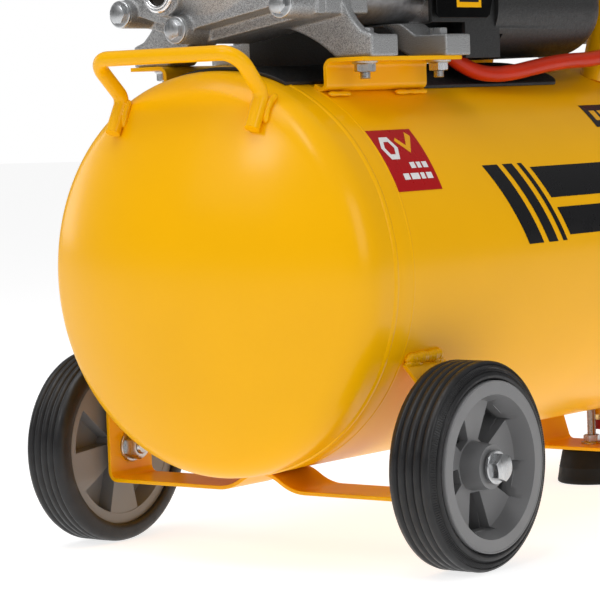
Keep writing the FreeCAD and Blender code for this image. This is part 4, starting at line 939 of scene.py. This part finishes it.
def dial_number(bm, words, middle, turn, u, v, size):
    """A numeral on a dial, lying flat on its face."""
    curve = bpy.data.curves.new("numeral", "FONT")
    curve.body = words
    curve.size = size * MM
    curve.align_x = "CENTER"
    curve.align_y = "CENTER"
    carrier = bpy.data.objects.new("numeral", curve)
    mesh = bpy.data.meshes.new_from_object(carrier)
    for vertex in mesh.vertices:
        spot = vertex.co + Vector((u * MM, v * MM, 0))
        vertex.co = middle + turn @ spot
    bm.from_mesh(mesh)
    bpy.data.objects.remove(carrier)


def make_dial(name, middle, axis, turn):
    """A dial face with ticks and numbers from 0 to 12."""
    radius, host = DIAL_RADIUS, "gauge_cases"
    paper = label_film(name + "_paper", (0.82, 0.82, 0.80)).material
    ink = label_film(name + "_ink", (0.01, 0.01, 0.012)).material

    def spot(u, v, lift):
        return middle + turn @ (Vector((u, v, lift)) * MM)

    face = bmesh.new()
    lathe_into(face, [(0, 0), (radius * 0.6, 0), (radius, 0), (radius, 0.3), (radius * 0.6, 0.3),
                      (0, 0.3)], middle, axis, 72)
    detail(new_object(name + "_face", face), host, material=paper)
    marks = bmesh.new()
    for step in range(DIAL_TICKS + 1):
        angle = radians(DIAL_START - DIAL_SWEEP * step / DIAL_TICKS)
        long = step % 4 == 0
        wide = 0.55 if long else 0.3
        inner = radius * (0.78 if long else 0.85)
        spoke = Vector((cos(angle), sin(angle)))
        side = Vector((-spoke.y, spoke.x)) * wide / 2
        corners = [spoke * inner - side, spoke * radius * 0.93 - side,
                   spoke * radius * 0.93 + side, spoke * inner + side]
        marks.faces.new([marks.verts.new(spot(corner.x, corner.y, INK_LIFT))
                         for corner in corners])
    for step in range(DIAL_NUMBERS + 1):
        angle = radians(DIAL_START - DIAL_SWEEP * step / DIAL_NUMBERS)
        dial_number(marks, str(step * 2), spot(0, 0, INK_LIFT), turn,
                    cos(angle) * radius * 0.60, sin(angle) * radius * 0.60, radius * 0.24)
    detail(new_object(name + "_marks", marks), host, material=ink)


def make_gauges():
    """Both gauges' dials, each behind a clear lens."""
    tank = at(-48.3, 520, DIAL_HEIGHT)
    outlet = at(0, 608.8, DIAL_HEIGHT)
    make_dial("tank_dial", tank, "-X", AXES["-X"])
    make_dial("outlet_dial", outlet, "Y", Matrix(((-1, 0, 0), (0, 0, 1), (0, 1, 0))))
    glass = clear_glass().material
    pane = [(0, 8.2), (19, 8.2), (21, 7.9), (21, 9.0), (19, 9.3), (0, 9.6)]
    detail(lathe("tank_dial_lens", pane, tank, "-X"), "gauge_cases", material=glass)
    detail(lathe("outlet_dial_lens", pane, outlet, "Y"), "gauge_cases", material=glass)


GRIP_BORE = 12.8
GRIP_PITCH = 5.4  # from one ridge to the next
GRIP_GROOVE = 0.7  # how deep it is between them


def make_grip():
    """A foam-like rubber grip with rounded ends and shallow ridges."""
    low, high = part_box("handle_grip")
    middle = (low + high) / 2
    radius = (high.z - low.z) / 2 / MM
    half = (high.x - low.x) / 2 / MM
    profile = [(GRIP_BORE, -half), (radius - 2.4, -half), (radius - 0.8, -half + 0.7),
               (radius - 0.2, -half + 2.4)]
    along = -half + 4
    while along < half - 6:
        profile += [(radius, along), (radius, along + 3.4), (radius - GRIP_GROOVE, along + 4.1),
                    (radius - GRIP_GROOVE, along + 4.7)]
        along += GRIP_PITCH
    profile += [(radius - 0.2, half - 2.4), (radius - 0.8, half - 0.7), (radius - 2.4, half),
                (GRIP_BORE, half)]
    stand_in(lathe("handle_grip_ribbed", profile, middle, "X", 64, closed=True), "handle_grip")


def make_foot():
    """The rubber foot: a tapered cup with a rolled lip and faint mould rings."""
    profile = [(6, 2.0), (22, 1.2), (26, 0.0), (29.4, 0.2), (30.8, 1.2), (31, 2.8), (30.6, 5),
               (29.2, 13.6), (29.3, 14.2), (29.0, 14.8), (26.4, 27.2), (25.6, 29.0),
               (24.2, 29.9), (12, 30), (9.5, 29.6), (9.3, 12), (8.6, 11.6), (6, 11.6)]
    spot = at(0, FOOT_Y, 0)
    stand_in(lathe("front_foot_rubber", profile, spot, "Z", 96, closed=True), "front_foot")


# ---------------- pump and motor
LENS_RADIUS = 9.25
LENS_EDGE = 4.6
LENS_RISE = 1.6


def make_sight_glass():
    """A turned bezel with a groove, round a dark domed lens."""
    spot = at(-34, COVER_FACE, 424)
    bezel = filleted([(9.2, 4), (13.4, 4), (13.4, -6.2), (12.6, -7), (11.7, -7), (11.4, -5.6),
                      (10.9, -5.6), (10.6, -6.9), (9.6, -6.9), (9.2, -6.0)], 0.25)
    stand_in(lathe("sight_glass_bezel", [(r, -y) for r, y in bezel], spot, "-Y", 96, closed=True),
             "oil_sight_glass")
    glass = label_film("sight_lens_dark", (0.012, 0.008, 0.004)).material
    dome = [(LENS_RADIUS, 1.0), (LENS_RADIUS, LENS_EDGE)]
    dome += [(LENS_RADIUS * cos(turn), LENS_EDGE + LENS_RISE * sin(turn))
             for turn in [pi / 2 * k / 10 for k in range(1, 11)]]
    detail(lathe("sight_lens", dome, spot, "-Y", 64), "oil_sight_glass", material=glass)


# A black wall on the tray under the stator, which paints the shade in the gap there.
SHADE_WALL_HALF = 70
SHADE_WALL_TOP = 396.4
SHADE_WALL_BACK = 115
SHADE_WALL_FRONT = 117.4
SHADE_WALL_CORNER = 7  # how far its top drops at the ends
TRAY_TOP = TANK_RADIUS + 1.6
SHADE_WALL_STEPS = 40


def make_shade_wall():
    """A thin black wall on the tray, under the stator: painted shade, a dark sheet that fills the
    gap between the pump's legs and the rails where the shade under the stator falls.
    """
    bm = bmesh.new()
    columns = []
    for step in range(SHADE_WALL_STEPS + 1):
        x = -SHADE_WALL_HALF + 2 * SHADE_WALL_HALF * step / SHADE_WALL_STEPS
        foot = TANK_AXIS + sqrt(TRAY_TOP ** 2 - x ** 2)
        top = SHADE_WALL_TOP - SHADE_WALL_CORNER * abs(x / SHADE_WALL_HALF) ** 12
        corners = ((SHADE_WALL_BACK, foot), (SHADE_WALL_BACK, top), (SHADE_WALL_FRONT, top),
                   (SHADE_WALL_FRONT, foot))
        columns.append([bm.verts.new(at(x, y, z)) for y, z in corners])
    for first, second in zip(columns, columns[1:]):
        skin_into(bm, first, second)
    bm.faces.new(columns[0])
    bm.faces.new(columns[-1])
    detail(new_object("tray_shade_wall", bm), "duct_tray", "black_plastic")


def make_shroud_panel():
    """The glossy panel on the shroud's side, with a plain printed tag."""
    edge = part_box("fan_shroud")[1].x / MM

    def side_spot(lift):
        return lambda u, v: at(edge + lift, u, v)

    bm = bmesh.new()
    outline = [(140.6, 404), (143, 399.0), (208, 399.0), (213.5, 402), (221, 424), (223, 440),
               (223, 535), (140.6, 535)]
    shape = filleted([*outline, outline[0]], 3, 5)
    for lift in (-0.8, 0.55):
        bm.faces.new([bm.verts.new(side_spot(lift)(*spot)) for spot in shape[:-1]])
    bmesh.ops.bridge_loops(bm, edges=bm.edges)
    panel = new_object("shroud_panel", bm)
    bevel = panel.modifiers.new("ease", "BEVEL")
    bevel.width = 0.35 * MM
    bevel.segments = 2
    detail(settled(panel), "fan_shroud", "gauge_case")
    printed("shroud_tag", [bar(167, 409, 33, 40)], side_spot(0.75), MATERIALS["yellow_paint"], 2,
            "fan_shroud")
    ink = label_film("tag_ink", (0.01, 0.01, 0.01)).material
    marks = [bar(170.5, 413 + 6 * k, 26, 3) for k in range(5)]
    printed("shroud_tag_ink", marks, side_spot(0.9), ink, 1, "fan_shroud")


# Cast nodes, with the remesh's voxel in millimetres and the number of smoothing passes.
CAST = {"crankcase": (1.25, 5), "crankcase_cover": (1.0, 6), "cylinder_head": (1.1, 3),
        "motor_end_bracket": (1.25, 5)}
# Nodes whose edges are only broken, with the bevel's width in millimetres and its segments.
EASED = {
    "cylinder": (0.35, 1), "valve_plate": (0.3, 1), "fan_shroud": (1.0, 2), "duct_tray": (0.5, 2),
    "wheel_bracket": (0.7, 2), "foot_bracket": (0.6, 2), "pump_rails": (0.7, 2),
    "tank_sockets": (0.6, 1), "air_filter": (0.8, 2), "run_capacitor": (1.2, 2),
    "switch_base": (0.9, 2), "switch_cover": (1.6, 3), "switch_button": (1.0, 2),
    "drain_knob": (0.5, 1), "drain_valve": (0.3, 1), "check_valve": (0.4, 1),
    "safety_valve": (0.3, 1), "quick_coupler": (0.3, 1), "coupler_sleeve": (0.3, 1),
    "regulator": (0.5, 1), "regulator_knob": (0.5, 1), "gauge_cases": (0.6, 2),
    "head_bolts": (0.4, 1), "motor_tie_bolts": (0.4, 1), "oil_dipstick": (0.6, 1),
    "cable_glands": (0.4, 1), "cooling_fan": (0.4, 1),
}


def make_castings():
    for node, (voxel, passes) in CAST.items():
        softened(node, voxel, passes)
    for node, (width, segments) in EASED.items():
        eased(node, width, segments)


# ---------------- studio
# Name, place, target and size in metres, and power in watts.
LIGHTS = (
    ("overhead", (-0.5, -0.9, 2.7), (0, -0.1, 0.3), (1.9, 1.5), 25),
    ("key", (-0.9, -3.0, 1.9), (0, -0.1, 0.3), (1.7, 1.6), 6),
    ("crown", (-0.4, -2.5, 1.75), (0, -0.3, 0.3), (0.45, 0.45), 8),
    ("strip", (0.75, -1.4, 2.6), (0, -0.3, 0.3), (0.3, 0.9), 9),
    ("rim", (-2.7, -0.2, 0.8), (0, -0.3, 0.25), (0.5, 1.0), 6),
    ("fill", (2.9, -0.6, 1.3), (0, 0, 0.3), (1.3, 1.5), 16),
)
SKY_HEIGHTS = (0.0, 0.75)
SKY_GREYS = (0.08, 0.38)
FLOOR_GLOW = 0.78
FLOOR_HALF = 14


def area_light(name, place, target, size, power):
    data = bpy.data.lights.new(name, "AREA")
    data.shape = "RECTANGLE"
    data.size, data.size_y = size
    data.energy = power
    light = bpy.data.objects.new(name, data)
    bpy.context.scene.collection.objects.link(light)
    light.location = place
    light.rotation_euler = (Vector(target) - Vector(place)).to_track_quat("-Z", "Y").to_euler()


def make_sky():
    """A sky that the camera sees as white, and that lights the object as a soft grey room."""
    world = bpy.data.worlds.new("studio")
    world.use_nodes = True
    nodes, links = world.node_tree.nodes, world.node_tree.links
    sky = nodes.new("ShaderNodeTexCoord")
    split = nodes.new("ShaderNodeSeparateXYZ")
    ramp = nodes.new("ShaderNodeValToRGB")
    for element, place, grey in zip(ramp.color_ramp.elements, SKY_HEIGHTS, SKY_GREYS):
        element.position = place
        element.color = (grey, grey, grey, 1)
    path = nodes.new("ShaderNodeLightPath")
    mix = nodes.new("ShaderNodeMixRGB")
    mix.inputs["Color2"].default_value = (1, 1, 1, 1)
    links.new(sky.outputs["Generated"], split.inputs["Vector"])
    links.new(split.outputs["Z"], ramp.inputs["Fac"])
    links.new(ramp.outputs["Color"], mix.inputs["Color1"])
    links.new(path.outputs["Is Camera Ray"], mix.inputs["Fac"])
    links.new(mix.outputs["Color"], nodes["Background"].inputs["Color"])
    bpy.context.scene.world = world


def make_studio():
    bpy.context.scene.view_settings.view_transform = "Standard"
    make_sky()
    bm = bmesh.new()
    bmesh.ops.create_grid(bm, x_segments=1, y_segments=1, size=FLOOR_HALF)
    floor = new_object("floor", bm)
    paper = Finish("floor_paper", (0.50, 0.50, 0.50), 0.9, specular=0.0)
    paper.set("Emission Color", (1, 1, 1, 1))
    paper.set("Emission Strength", FLOOR_GLOW)
    floor.data.materials.append(paper.material)
    for light in LIGHTS:
        area_light(*light)


def finish_cad_nodes():
    """Every CAD node that stays gets its slot's finish, on all its material slots."""
    for node, made in NODES.items():
        for material_slot in made.material_slots:
            material_slot.material = MATERIALS[SLOT_OF[node]]


make_camera()
make_cable()
finish_cad_nodes()
make_tank()
make_welds()
make_wheels()
make_axles()
make_fixings()
make_labels()
make_gauges()
make_grip()
make_foot()
make_sight_glass()
make_shade_wall()
make_shroud_panel()
make_castings()
make_studio()
